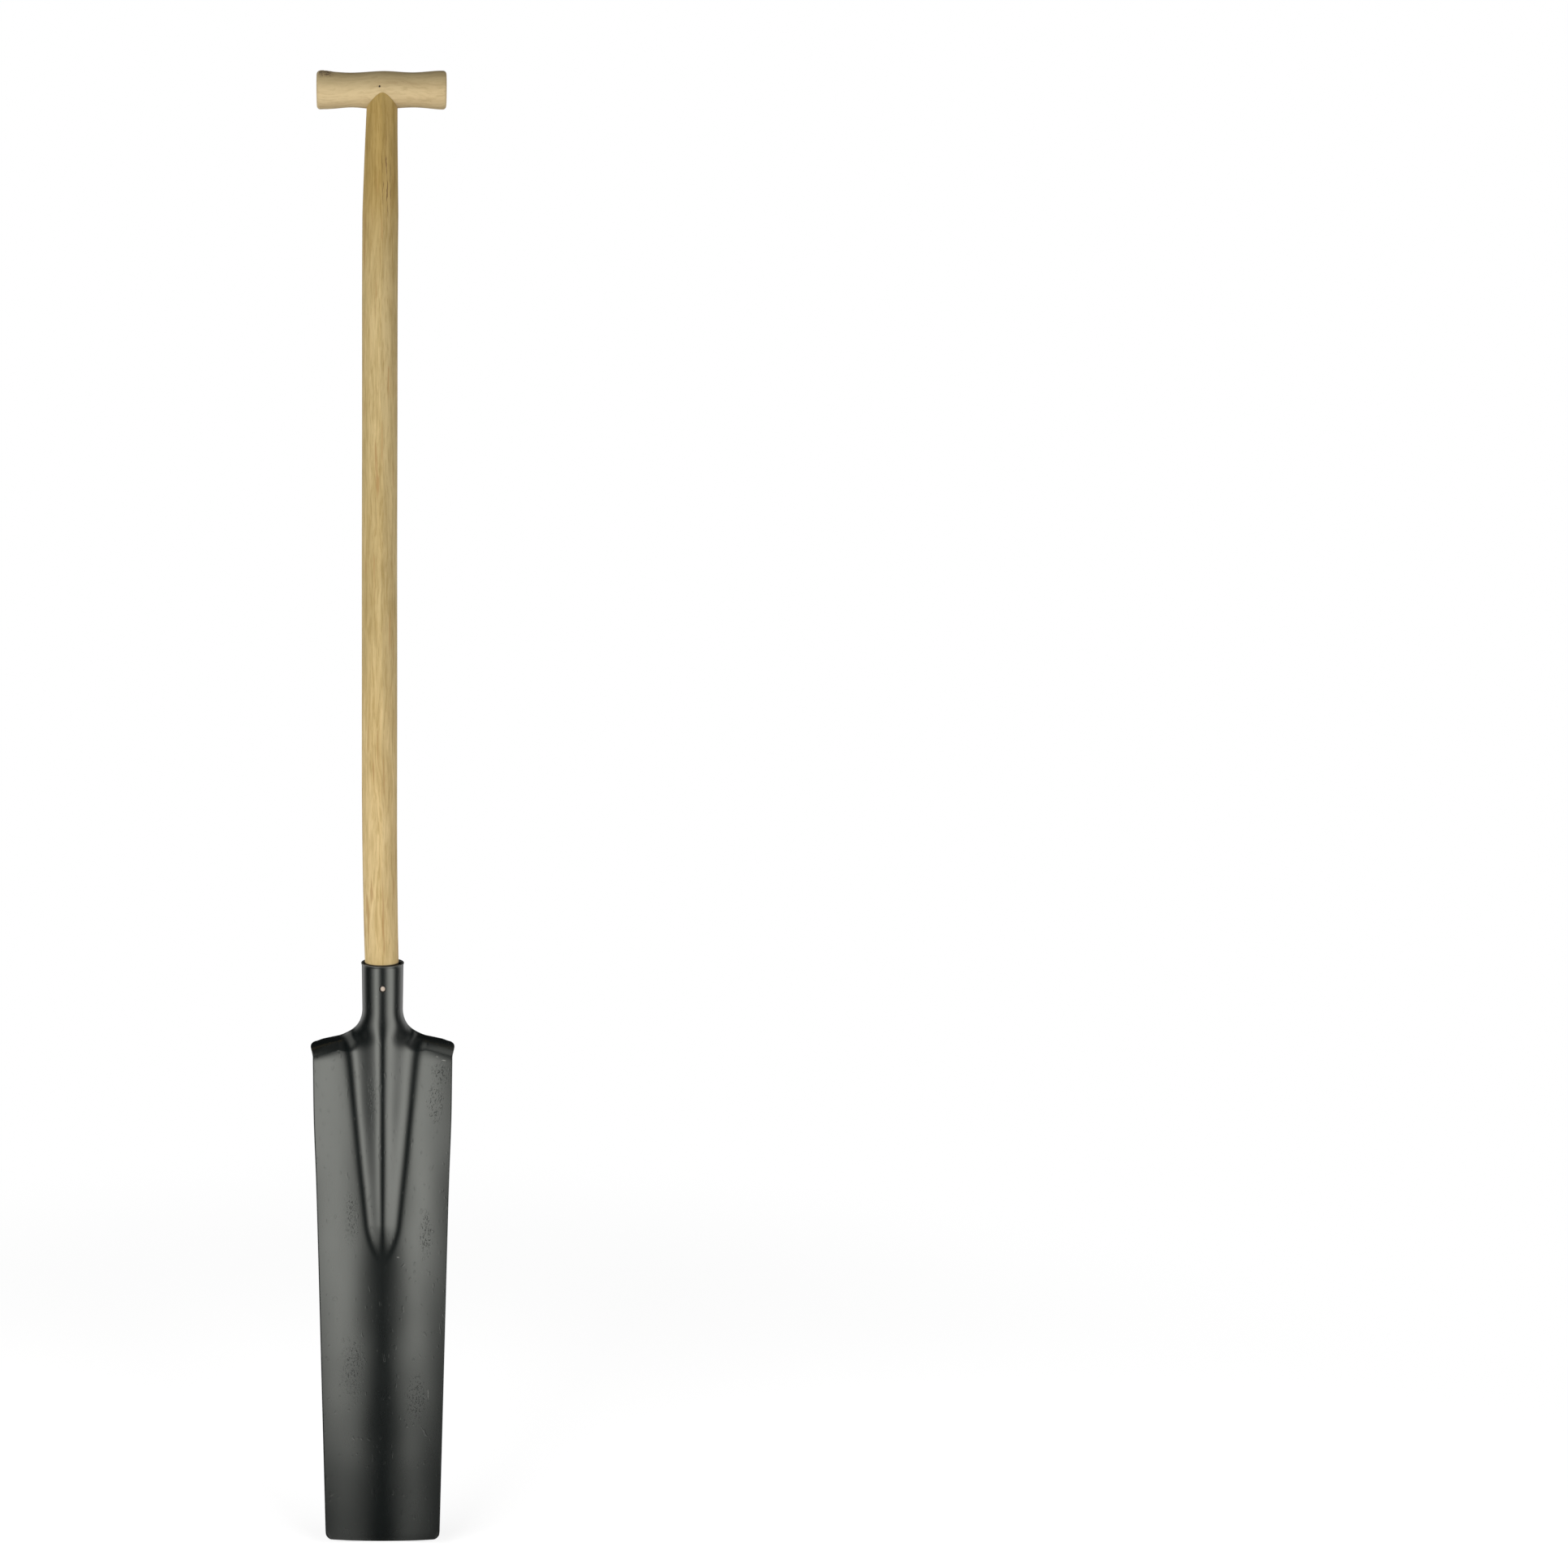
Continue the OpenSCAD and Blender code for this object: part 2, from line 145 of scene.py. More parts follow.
class SpadeWoodSizes(bpy.types.PropertyGroup):
    """Sizes of the shaft and the grip."""

    shaft_d: length("Shaft diameter", "Diameter of the shaft over most of its length", 0.036)
    shaft_socket_d: length("Socket end diameter", "Diameter of the shaft in the socket's mouth", 0.0349)
    swell_length: length("Swell length", "Length over which the shaft swells to its full diameter", 0.180)
    end_taper: length("End taper", "Length of the tapered lower end", 0.050)
    shaft_end_d: length("End diameter", "Diameter of the lower end", 0.027)
    shaft_top_width: length("Top width", "Width of the shaft under the grip", 0.030)
    shaft_top_depth: length("Top depth", "Depth of the shaft, front to back, under the grip", 0.0348)
    cheek_length: length("Cheek length", "Length of the shaved cheeks below the grip's axis", 0.120)
    bow: length("Bow", "Sideways bow of the shaft at half its length", 0.0026)
    seat_offset: length("Seat offset", "Distance of the shaft to the left of the mouth's middle", 0.0009)
    cope_gap: length("Cope gap", "Gap between the coped end and the grip", 0.00015)
    grip_mid_d: length("Grip middle", "Diameter of the grip in the middle", 0.0364)
    grip_waist_d: length("Grip waist", "Diameter of the grip at its waists", 0.033)
    grip_end_d: length("Grip ends", "Diameter of the grip at its flared ends", 0.0369)
    grip_waist_at: length("Waist place", "Distance of each waist from the middle", 0.0305)
    grip_edge: length("End rounding", "Rounding of the grip's end edges", 0.0034)
    grip_longer: length("Longer left end", "How far the left end of the grip reaches past the right one", 0.0020)
    nail_dimple: length("Nail dimple", "Depth to which the nail is driven in", 0.0004)


class SpadeColours(bpy.types.PropertyGroup):
    """Colours of the finishes."""

    paint: colour("Paint", "Black paint of the head", (0.0042, 0.0056, 0.0056))
    paint_worn: colour("Rubbed paint", "Paint where it is rubbed and dusty", (0.0120, 0.0140, 0.0136))
    # The chips' pale colour also paints highlight: a line along the mouth's rim and a streak on the right tread.
    paint_chip_and_highlight: colour("Chipped paint", "Pale steel and primer in chips and on the rim", (0.150, 0.150, 0.140))
    paint_sheen: colour("Paint sheen", "Tint of what the paint mirrors", (0.985, 1.0, 0.925))
    shaft_pale: colour("Shaft, pale wood", "Pale grain of the shaft", (0.740, 0.562, 0.284))
    shaft_deep: colour("Shaft, deep wood", "Deep grain of the shaft", (0.500, 0.350, 0.138))
    shaft_upper: colour("Shaft, upper half", "Tint of the greyer upper half of the shaft", (0.86, 0.87, 0.84))
    shaft_top: colour("Shaft, golden top", "Tint of the shaft under the grip", (0.78, 0.71, 0.50))
    shaft_fleck: colour("Shaft, flecks", "Short reddish flecks of the shaft", (0.400, 0.235, 0.085))
    shaft_crack: colour("Shaft, open grain", "Wavy open grain under the grip", (0.190, 0.110, 0.035))
    shaft_inside: colour("Shaft, in the socket", "Unweathered wood in the socket", (0.780, 0.640, 0.520))
    grip_pale: colour("Grip, pale wood", "Pale grain of the grip", (0.680, 0.530, 0.295))
    grip_deep: colour("Grip, deep wood", "Deep grain of the grip", (0.520, 0.385, 0.200))
    # Painted shade: this tint darkens the grip's top, where less light falls on the upward faces.
    grip_top_shade: colour("Grip, handled top", "Tint of the darker top of the grip", (0.70, 0.70, 0.65))
    bark: colour("Bark", "Trace of bark on the grip's corner", (0.115, 0.075, 0.045))
    nail: colour("Nail", "Dull steel of the nail", (0.050, 0.040, 0.032))


class SpadeStudio(bpy.types.PropertyGroup):
    """Camera and lights."""

    distance: length("Camera distance", "Distance of the camera from the shaft", 2.30)
    height: length("Camera height", "Height of the camera over the floor", 1.00)
    pitch: angle("Camera pitch", "Downward look of the camera", 5.288)
    shift: share("Picture shift", "Shift of the picture to the right, in picture widths", 0.256)
    lens: share("Lens", "Focal length in millimetres on a 36 mm sensor", 51.78)
    right_box: share("Right softbox", "Radiance of the softbox on the right", 2.5)
    left_box: share("Left softbox", "Radiance of the softbox on the left", 3.0)
    room: share("Room light", "Radiance of the room for soft light", 0.25)


class SpadeSettings(bpy.types.PropertyGroup):
    """All that a user would change."""

    head: PointerProperty(type=SpadeHeadSizes)
    wood: PointerProperty(type=SpadeWoodSizes)
    colours: PointerProperty(type=SpadeColours)
    studio: PointerProperty(type=SpadeStudio)


# Whole-array helpers


def mix(a, b, t):
    """Straight blend from a to b."""
    return a + (b - a) * t


def smooth(t):
    """Smooth step: 0 below 0, 1 above 1, and 3t^2 - 2t^3 between."""
    c = np.clip(t, 0.0, 1.0)
    return c * c * (3.0 - 2.0 * c)


def unit(v):
    """Vectors of length 1."""
    return v / np.linalg.norm(v, axis=-1, keepdims=True)


def stack(*parts):
    """Coordinates as one array of points."""
    return np.stack(np.broadcast_arrays(*parts), axis=-1)


def waves(table, u, v, start=0.0):
    """Crossing sine waves added to a start; each row holds a height, the radians along u and v, and a first angle."""
    return sum((height * np.sin(on_u * u + on_v * v + first) for height, on_u, on_v, first in table), start)


def around(sides):
    """Angles of a closed ring, as one row."""
    return np.linspace(0, 2 * np.pi, sides, endpoint=False)[None, :]


def grid_quads(rows, columns, closed=False):
    """Quads of a grid of points that is stored row by row; a closed grid joins its last column to the first."""
    i = np.arange(rows - 1)[:, None]
    j = np.arange(columns if closed else columns - 1)[None, :]
    after = (j + 1) % columns
    low, high = i * columns, (i + 1) * columns
    return stack(low + j, low + after, high + after, high + j).reshape(-1, 4)


def capped_tube(rings, turned=False):
    """Points and faces of a tube of rings, closed at both ends with a fan round each end's middle; a turned tube has
    rings that run the other way round."""
    rows, columns = rings.shape[:2]
    points = np.concatenate([rings.reshape(-1, 3), rings[0].mean(0)[None], rings[-1].mean(0)[None]])
    j = np.arange(columns)
    after = (j + 1) % columns
    last = (rows - 1) * columns
    foot = stack(after, j, rows * columns)
    top = stack(last + j, last + after, rows * columns + 1)
    way = -1 if turned else 1
    return points, sum((part[:, ::way].tolist() for part in (grid_quads(rows, columns, True), foot, top)), [])


def make_piece(name, points, faces, sharp_degrees=30.0):
    """A mesh object at the origin, smooth apart from edges sharper than the angle."""
    mesh = bpy.data.meshes.new(name)
    mesh.from_pydata(points.tolist(), [], faces)
    mesh.validate()
    mesh.shade_smooth()
    mesh.set_sharp_from_angle(angle=math.radians(sharp_degrees))
    piece = bpy.data.objects.new(name, mesh)
    bpy.context.scene.collection.objects.link(piece)
    return piece


def seat_piece(piece, node, material):
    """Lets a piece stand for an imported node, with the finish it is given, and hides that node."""
    piece.data.materials.clear()
    piece.data.materials.append(material)
    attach(piece, "root")
    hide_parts(node)


# Head


# Waves in the sheet along x and z, as shares of the ripple's height
SHEET_WAVES = ((1.0, 131.0, 37.0, 0.7), (1.0, -83.0, 59.0, 2.1), (0.6, 47.0, -113.0, 4.0))
# Where the upper sides swell, below the tread corners, and over which length; height of the treads' ears; power of
# the share of the width by which both fade inward
SWELL_BELOW, SWELL_SPREAD, EAR_HEIGHT, SPREAD_POWER = 0.080, 0.048, 0.013, 6
# Grid columns along the lower corner, the tread and the neck
CORNER_COLUMNS, TREAD_COLUMNS, NECK_COLUMNS = 10, 30, 32
# Grid rows of the bevel, the plain blade, the ridge's nose, the ridge and the run-up to the treads, then of the roll
BLADE_ROWS, ROLL_ROWS = (4, 64, 40, 60, 52), 40
SOCKET_RINGS, LIP_RINGS = 12, 5  # grid rings of the socket's cone and of its lip
NOSE_MARGIN = 0.004  # the nose's closer rows begin and end this far past it
WELD_GRID = 1e7  # points that agree to a tenth of a micrometre are one
HEAD_SHARP = 38.0  # degrees
# Cutter of the fixing hole: its sides, the rounding of the hole's rim, and how far it stands out before the wall
HOLE_SIDES, HOLE_FLARE, HOLE_CLEAR = 64, 0.0004, 0.004


class PressedSheet:
    """Outer face of the head's sheet. x and z are the front view's coordinates, with z = 0 at the tread corners
    and the socket's axis at x = y = 0; q runs along the upper outline from the tread's corner (0) over the end
    of the straight tread (1) to the socket (2)."""

    step = 1e-5  # metres, for the face's slopes
    roll_step = 1e-3  # shares and radians, for the roll's directions
    blend_radii = 1.5  # depth below the treads at which the dish begins to fade, in tread radii

    def __init__(self, sizes):
        self.sizes = sizes
        self.length = MOUTH_Z - sizes.socket_height
        self.neck_r = sizes.neck_d / 2
        self.mouth_r = sizes.mouth_d / 2
        self.top_half = sizes.top_width / 2
        self.tip_half = sizes.tip_width / 2
        self.nose_from = sizes.ridge_length - sizes.nose_length
        slope = sizes.tread_slope
        self.corner_x = self.top_half + sizes.tread_radius * math.sin(slope)
        self.neck_x = self.neck_r + sizes.neck_radius
        self.neck_z = sizes.neck_radius / math.cos(slope) + (self.corner_x - self.neck_x) * math.tan(slope)
        self.tread_end = np.array(
            [self.neck_x - sizes.neck_radius * math.sin(slope), self.neck_z - sizes.neck_radius * math.cos(slope)]
        )
        self.blend_depth = self.blend_radii * sizes.tread_radius
        self.seam_angle = math.pi / 2 - math.asin(sizes.seam_gap / 2 / self.neck_r)
        self.edge_y = float(self.hollow_y(-self.length)) + sizes.sheet - sizes.edge_thickness / 2

    def hollow_y(self, z):
        """Bottom of the hollow: a straight line that leans forward by the lift going down."""
        return self.sizes.ridge_height - self.neck_r + z * math.tan(self.sizes.lift)

    def half_width(self, z):
        """Half the blade's width: a straight taper from treads to tip."""
        return mix(self.tip_half, self.top_half, (z + self.length) / (self.length - self.sizes.tread_radius))

    def blade_share(self, z):
        """1 on the blade, falling smoothly to 0 at the neck."""
        return 1.0 - smooth((z + self.blend_depth) / (self.neck_z + self.blend_depth))

    def ridge_lift(self, z):
        """Height of the ridge: from the hollow to the line of the socket's front, times a smooth step to 0 at the
        nose."""
        return (self.hollow_y(z) + self.neck_r) * (1.0 - smooth((-z - self.nose_from) / self.sizes.nose_length))

    def ridge_half(self, z):
        """Half the ridge's width: a straight taper that ends in a quarter ellipse at the nose."""
        past_nose = np.maximum(0.0, -z - self.nose_from) / self.sizes.nose_length
        rounding = np.sqrt(np.maximum(0.0, 1.0 - past_nose**2))
        return rounding * mix(self.sizes.ridge_top_width, self.sizes.ridge_nose_width, -z / self.nose_from) / 2

    def ridge_share(self, z):
        """1 up to the tread corners, falling smoothly to 0 at the neck, where the ridge flattens out."""
        return 1.0 - smooth(z / self.neck_z)

    def ripple(self, x, z):
        """Shallow crossing waves of the pressed sheet, which end at the neck."""
        return self.sizes.ripple * waves(SHEET_WAVES, x, z) * self.blade_share(z)

    def face_y(self, x, z):
        """Front face: the hollow, less a power curve for the wings, less a power of a cosine bell for the ridge."""
        reach = np.abs(x) / self.half_width(z)
        wings = self.sizes.dish_depth * self.blade_share(z) * reach**self.sizes.dish_power
        across = np.minimum(1.0, self.ridge_share(z) * np.abs(x) / np.maximum(self.step, self.ridge_half(z)))
        ridge = self.ridge_lift(z) * ((1.0 + np.cos(np.pi * across)) / 2) ** self.sizes.ridge_power
        return self.hollow_y(z) - wings - ridge + self.ripple(x, z)

    def face_normal(self, x, z):
        """Normal of the front face, from its slopes by central difference."""
        d = self.step
        along_x = (self.face_y(x + d, z) - self.face_y(x - d, z)) / (2 * d)
        along_z = (self.face_y(x, z + d) - self.face_y(x, z - d)) / (2 * d)
        return unit(stack(along_x, -np.ones_like(along_x), along_z))

    def inward(self, q):
        """Direction from the upper outline into the sheet, in the front view."""
        slope = self.sizes.tread_slope
        turned = mix(1.5 * np.pi - slope, np.pi, np.clip(q - 1.0, 0.0, 1.0))
        return stack(np.cos(turned), np.sin(turned))

    def outline(self, q):
        """Upper outline in the front view: a straight tread, then a quarter circle up to the socket."""
        corner = np.array([self.corner_x, 0.0])
        tread = mix(corner, self.tread_end, np.clip(q, 0.0, 1.0)[..., None])
        neck = np.array([self.neck_x, self.neck_z]) + self.sizes.neck_radius * self.inward(q)
        return np.where((q <= 1.0)[..., None], tread, neck)

    def roll_radius(self, q):
        """Radius of the roll: the tread's, growing smoothly to the socket's."""
        return mix(self.sizes.tread_radius, self.neck_r, smooth(q - 1.0))

    def roll_end(self, q):
        """Angle at which the roll ends: level with the tread's top, closing smoothly to the seam."""
        return -self.seam_angle * smooth(q - 1.0)

    def roll_reach(self, q):
        """Distance from the outline at which the roll begins: its radius, and more round the neck."""
        round_neck = np.clip(q - 1.0, 0.0, 1.0)
        return self.roll_radius(q) * (
            1.0 + self.sizes.neck_reach * 2.0 * (1.0 - round_neck) * np.sin(np.pi * round_neck)
        )

    def corner_inset(self, q, turn):
        """Sideways inset that rounds the tread's outer corner: a quarter circle in the front view, which fades along
        the tread."""
        c = self.sizes.tread_corner
        under_top = self.sizes.tread_radius * (1.0 - np.cos(np.maximum(0.0, turn)))
        return (c - np.sqrt(c * c - np.maximum(0.0, c - under_top) ** 2)) * (1.0 - smooth(2.0 * q))

    def roll_point(self, q, turn):
        """The sheet rolled backward: from the front face (turn of a quarter) over the outline (0) to the seam."""
        r = self.roll_radius(q)
        reach = np.where(turn > 0.0, self.roll_reach(q), r)
        p = self.outline(q) + self.inward(q) * (reach * (1.0 - np.cos(turn)))[..., None]
        x = p[..., 0] - self.corner_inset(q, turn)
        return stack(x, self.face_y(p[..., 0], p[..., 1]) + r * (1.0 - np.sin(turn)), p[..., 1])

    def roll_normal(self, q, turn):
        """Normal of the roll: cross product of its two directions by difference."""
        d = self.roll_step
        over = self.roll_point(q, turn - d) - self.roll_point(q, turn + d)
        along = self.roll_point(np.minimum(2.0, q + d), turn) - self.roll_point(np.maximum(0.0, q - d), turn)
        return unit(np.cross(over, along))

    def arch(self, q):
        """Line on the front face where the roll begins."""
        return self.outline(q) + self.inward(q) * self.roll_reach(q)[..., None]

    def tip_z(self, x):
        """Lower outline: a shallow parabola with quarter circles at its ends."""
        r = self.sizes.tip_corner
        in_corner = np.maximum(0.0, np.abs(x) - self.tip_half + r)
        rise = r - np.sqrt(np.maximum(0.0, r * r - in_corner**2))
        return self.sizes.edge_sag * (x / self.tip_half) ** 2 - self.length + rise

    def spread(self, points):
        """Points moved outward: a bell-shaped swell of the upper sides and ears on the treads, both by a high power
        of the share of the width."""
        x, y, z = points.T
        swell = self.sizes.side_swell * np.exp(-(((z + SWELL_BELOW) / SWELL_SPREAD) ** 2))
        ears = self.sizes.tread_ears * smooth((z + EAR_HEIGHT) / EAR_HEIGHT)
        return stack(x + np.sign(x) * (swell + ears) * (np.abs(x) / self.corner_x) ** SPREAD_POWER, y, z)

    def socket_r(self, z):
        """Outer radius of the socket: a slight cone, with a smooth step outward for the lip."""
        sizes = self.sizes
        cone = mix(self.neck_r, self.mouth_r, (z - self.neck_z) / (sizes.socket_height - self.neck_z))
        return cone + sizes.mouth_lip * smooth((z - sizes.socket_height + sizes.lip_height) / sizes.lip_height)


def head_layers(sizes):
    """Outer and inner layer of the sheet as equal arrays of points, with the quads that both share.

    One half is a grid of columns q and rows that go up the blade and then over the roll; the other half is its
    mirror, and rings carry the roll's last column up to the mouth. The inner layer lies one thickness behind."""
    sheet = PressedSheet(sizes)
    tread_run = (sheet.arch(np.zeros(1)) - sheet.arch(np.ones(1)))[0, 0]
    corner_q = sizes.tip_corner / sheet.tip_half * sheet.top_half / tread_run  # over the rounded lower corner
    corner = corner_q * np.linspace(0, 1, CORNER_COLUMNS, endpoint=False) ** 2
    tread = np.linspace(corner_q, 1, TREAD_COLUMNS, endpoint=False)
    q = np.concatenate([corner, tread, np.linspace(1, 2, NECK_COLUMNS + 1)])
    marks = [
        0.0,
        sizes.bevel_width,
        sheet.length - sizes.ridge_length - NOSE_MARGIN,
        sheet.length - sheet.nose_from + NOSE_MARGIN,
        sheet.length - 2 * sheet.blend_depth,
        sheet.length + sheet.neck_z,
    ]
    bands = [np.linspace(*band, endpoint=False) for band in zip(marks, marks[1:], BLADE_ROWS)]
    rise = np.concatenate(bands + [marks[-1:]])
    row = (rise / marks[-1])[None, :, None]

    # blade: straight columns from the lower outline to the arch, ground at the front
    arch = sheet.arch(q)
    tip_x = arch[:, 0] * sheet.tip_half / sheet.top_half
    spot = mix(stack(tip_x, sheet.tip_z(tip_x))[:, None, :], arch[:, None, :], row)
    x, z = spot[..., 0], spot[..., 1]
    front = stack(x, sheet.face_y(x, z), z)
    back = front - sizes.sheet * sheet.face_normal(x, z)
    back[:, 0] = front[:, 0] + np.array([0.0, sizes.sheet, 0.0])
    ground = np.clip(1.0 - rise / sizes.bevel_width, 0.0, 1.0) * (sizes.sheet - sizes.edge_thickness)
    front = front + ground[None, :, None] * np.array([0.0, 1.0, 0.0])

    # roll over the treads and round the neck
    over = np.linspace(0, 1, ROLL_ROWS + 1)[1:]
    turn = mix(np.pi / 2, sheet.roll_end(q)[:, None], over[None, :])
    q_grid = np.broadcast_to(q[:, None], turn.shape)
    rolled = sheet.roll_point(q_grid, turn)
    rolled_in = rolled - sizes.sheet * sheet.roll_normal(q_grid, turn)
    right = np.concatenate([front, rolled], axis=1)
    right_in = np.concatenate([back, rolled_in], axis=1)

    # socket: rings whose front drops by the slant towards the mouth
    lip_from = sizes.socket_height - sizes.lip_height
    lip_z = np.linspace(lip_from, sizes.socket_height, LIP_RINGS + 1)[1:]
    ring_z = np.concatenate([np.linspace(sheet.neck_z, lip_from, SOCKET_RINGS), lip_z])
    turns = mix(np.pi / 2, -sheet.seam_angle, np.concatenate([over[::-1], [0.0], over]))
    side = np.repeat([-1.0, 1.0], [ROLL_ROWS, ROLL_ROWS + 1])
    ring_r = sheet.socket_r(ring_z)[:, None]
    drop = sizes.mouth_slant * smooth((ring_z - sheet.neck_z) / (sizes.socket_height - sheet.neck_z))
    level = ring_z[:, None] - drop[:, None] * (1.0 + np.sin(turns)) / 2
    rings, rings_in = (
        stack(side * r * np.cos(turns), -r * np.sin(turns), level) for r in (ring_r, ring_r - sizes.sheet)
    )

    # both halves and the socket as one sheet
    flip = np.array([-1.0, 1.0, 1.0])
    half_quads = grid_quads(*right.shape[:2])
    half = right.shape[0] * right.shape[1]
    quads = np.concatenate([half_quads, half_quads[:, ::-1] + half, grid_quads(*rings.shape[:2]) + 2 * half])
    outer, inner = (
        np.concatenate([part.reshape(-1, 3) for part in layer])
        for layer in ((right, right * flip, rings), (right_in, right_in * flip, rings_in))
    )
    welded = np.round(outer * WELD_GRID).astype(np.int64)
    _, first, inverse = np.unique(welded, axis=0, return_index=True, return_inverse=True)
    place = np.array([0.0, -sheet.edge_y, sheet.length])
    outer, inner = (sheet.spread(layer[first]) + place for layer in (outer, inner))
    return outer, inner, inverse.reshape(-1)[quads]


def closed_sheet(outer, inner, quads, steps=6, bulge=0.25):
    """Closes two layers round their free edge with a rounded rim.

    Across the thickness s from 0 to 1 the rim stands out by bulge times the thickness times
    (1 - (2s - 1)^4)^(1/2), square to the edge and in the plane of the sheet."""
    count = len(outer)
    edges = np.concatenate([quads[:, [k, (k + 1) % 4]] for k in range(4)])
    codes = edges[:, 0].astype(np.int64) * count + edges[:, 1]
    free = edges[~np.isin(codes, edges[:, 1].astype(np.int64) * count + edges[:, 0])]
    before = np.zeros(count, int)
    after = np.zeros(count, int)
    after[free[:, 0]] = free[:, 1]
    before[free[:, 1]] = free[:, 0]
    rim = free[:, 0]
    through = inner[rim] - outer[rim]
    outward = unit(np.cross(outer[after[rim]] - outer[before[rim]], -through))
    s = np.linspace(0, 1, steps + 1)[1:-1, None, None]
    thickness = np.linalg.norm(through, axis=1)[:, None]
    stand = np.sqrt(1.0 - (2.0 * s - 1.0) ** 4)
    bands = outer[rim] + through * s + outward * thickness * bulge * stand

    order = np.zeros(count, int)
    order[rim] = np.arange(len(rim))
    a, b = order[free[:, 0]], order[free[:, 1]]
    first = 2 * count
    level = [rim] + [first + k * len(rim) + np.arange(len(rim)) for k in range(steps - 1)] + [rim + count]
    walls = [np.stack([level[k][b], level[k][a], level[k + 1][a], level[k + 1][b]], axis=1) for k in range(steps)]
    points = np.concatenate([outer, inner, bands.reshape(-1, 3)])
    return points, np.concatenate([quads, quads[:, ::-1] + count] + walls)


def hole_cutter(sizes):
    """Round cutter for the fixing hole: circles towards -Y whose radius flares roundly at the front of the sheet."""
    sheet = PressedSheet(sizes)
    z = MOUTH_Z - sizes.hole_below_mouth
    wall = float(sheet.socket_r(np.array(z - sheet.length)))
    # rings of the flare: depth behind the wall's front and radius over the hole's, in shares of HOLE_FLARE
    depth = np.append(0.5 * wall, wall - HOLE_FLARE * np.array([2.5, 1.2, 0.5, 0.0]))
    depth = np.append(depth, wall + HOLE_CLEAR)[:, None]
    radius = (sizes.hole_d / 2 + HOLE_FLARE * np.array([0.0, 0.0, 0.12, 0.45, 1.0, 1.0]))[:, None]
    a = around(HOLE_SIDES) + np.pi / HOLE_SIDES  # no corner on the sheet's middle line
    rings = stack(radius * np.cos(a), -sheet.edge_y - depth, z + radius * np.sin(a))
    return make_piece("hole_cutter", *capped_tube(rings))


def cut_hole(piece, cutter):
    """Cuts the fixing hole and leaves the result as the piece's own mesh."""
    cut = piece.modifiers.new("fixing_hole", "BOOLEAN")
    cut.operation = "DIFFERENCE"
    cut.solver = "EXACT"
    cut.object = cutter
    bpy.context.view_layer.update()
    result = bpy.data.meshes.new_from_object(piece.evaluated_get(bpy.context.evaluated_depsgraph_get()))
    piece.modifiers.clear()
    plain = piece.data
    piece.data = result
    result.name = plain.name
    bpy.data.meshes.remove(plain)
    spent = cutter.data
    bpy.data.objects.remove(cutter)
    bpy.data.meshes.remove(spent)
    piece.data.shade_smooth()
    piece.data.set_sharp_from_angle(angle=math.radians(HEAD_SHARP))


# Shaft and grip


SHAFT_SIDES, GRIP_SIDES = 128, 192
# Grid rings of the shaft: its taper, the seat in the socket, the free stick and the bend to the grip's underside
TAPER_RINGS, SEAT_RINGS, STICK_RINGS, BEND_RINGS = 14, 14, 190, 25
# Grid rings along the grip, on each of its end edges and on every end face
GRIP_RINGS, EDGE_RINGS, CAP_RINGS = 230, 13, 13
COPE_ROUNDS = 6  # the cope's height and the section there settle in this many rounds
FOOT_CHAMFER = 0.0015
# Wander of the shaft along z and round it, as shares of its radius, and the length over which it ends below the grip
SHAFT_WANDER, STEADY_LENGTH = ((0.006, 9.0, 2.0, 0.4), (0.004, 23.0, -3.0, 0.0)), 0.06
# Wander of the grip along x and round it, in metres
GRIP_WANDER = ((0.00016, 70.0, 2.0, 0.0), (0.00012, 160.0, -1.0, 1.3), (0.00008, 30.0, 3.0, 0.0))
DIMPLE_RADIUS = 0.0015
# Bark on the grip: its middle and half size as x and the angle round the grip, its height and its roughness
BARK_X, BARK_TURN, BARK_HALF, BARK_HALF_TURN = -0.0560, 0.95, 0.0085, 0.42
BARK_HEIGHT, BARK_ROUGH = 0.00080, 0.00035
FLANK_HEIGHT, FLANK_SPREAD = 0.0008, 0.016  # fuller upper side of the right waist
LONGER_FROM = 0.040  # distance from the middle at which the longer left end begins
SHAFT_SHARP, GRIP_SHARP = 40.0, 60.0  # degrees


def grip_radius(x, wood):
    """Turned profile: smooth steps from the middle to each waist and on to each end, less a quarter circle at the
    end's edge."""
    flare_end = GRIP_HIGH.x - wood.grip_edge
    x = np.abs(x)
    to_flare = (x - wood.grip_waist_at) / (flare_end - wood.grip_waist_at)
    inner = mix(wood.grip_mid_d, wood.grip_waist_d, smooth(x / wood.grip_waist_at)) / 2
    outer = mix(wood.grip_waist_d, wood.grip_end_d, smooth(to_flare)) / 2
    side = np.where(x <= wood.grip_waist_at, inner, outer)
    past = np.clip((x - flare_end) / wood.grip_edge, 0.0, 1.0)
    return side - wood.grip_edge * (1.0 - np.sqrt(1.0 - past**2))


def shaft_centre(z, wood):
    """Sideways place of the shaft: the bow times 1 - |2t - 1|^5 between mouth and grip, and the seat's offset, which
    is full in the mouth and falls evenly to none at either end."""
    t = np.clip((z - MOUTH_Z) / (GRIP_MIDDLE.z - MOUTH_Z), 0.0, 1.0)
    seat = wood.seat_offset * np.interp(z, [FOOT_Z, MOUTH_Z, GRIP_MIDDLE.z], [0.0, 1.0, 0.0])
    return -wood.bow * (1.0 - np.abs(2.0 * t - 1.0) ** 5) - seat


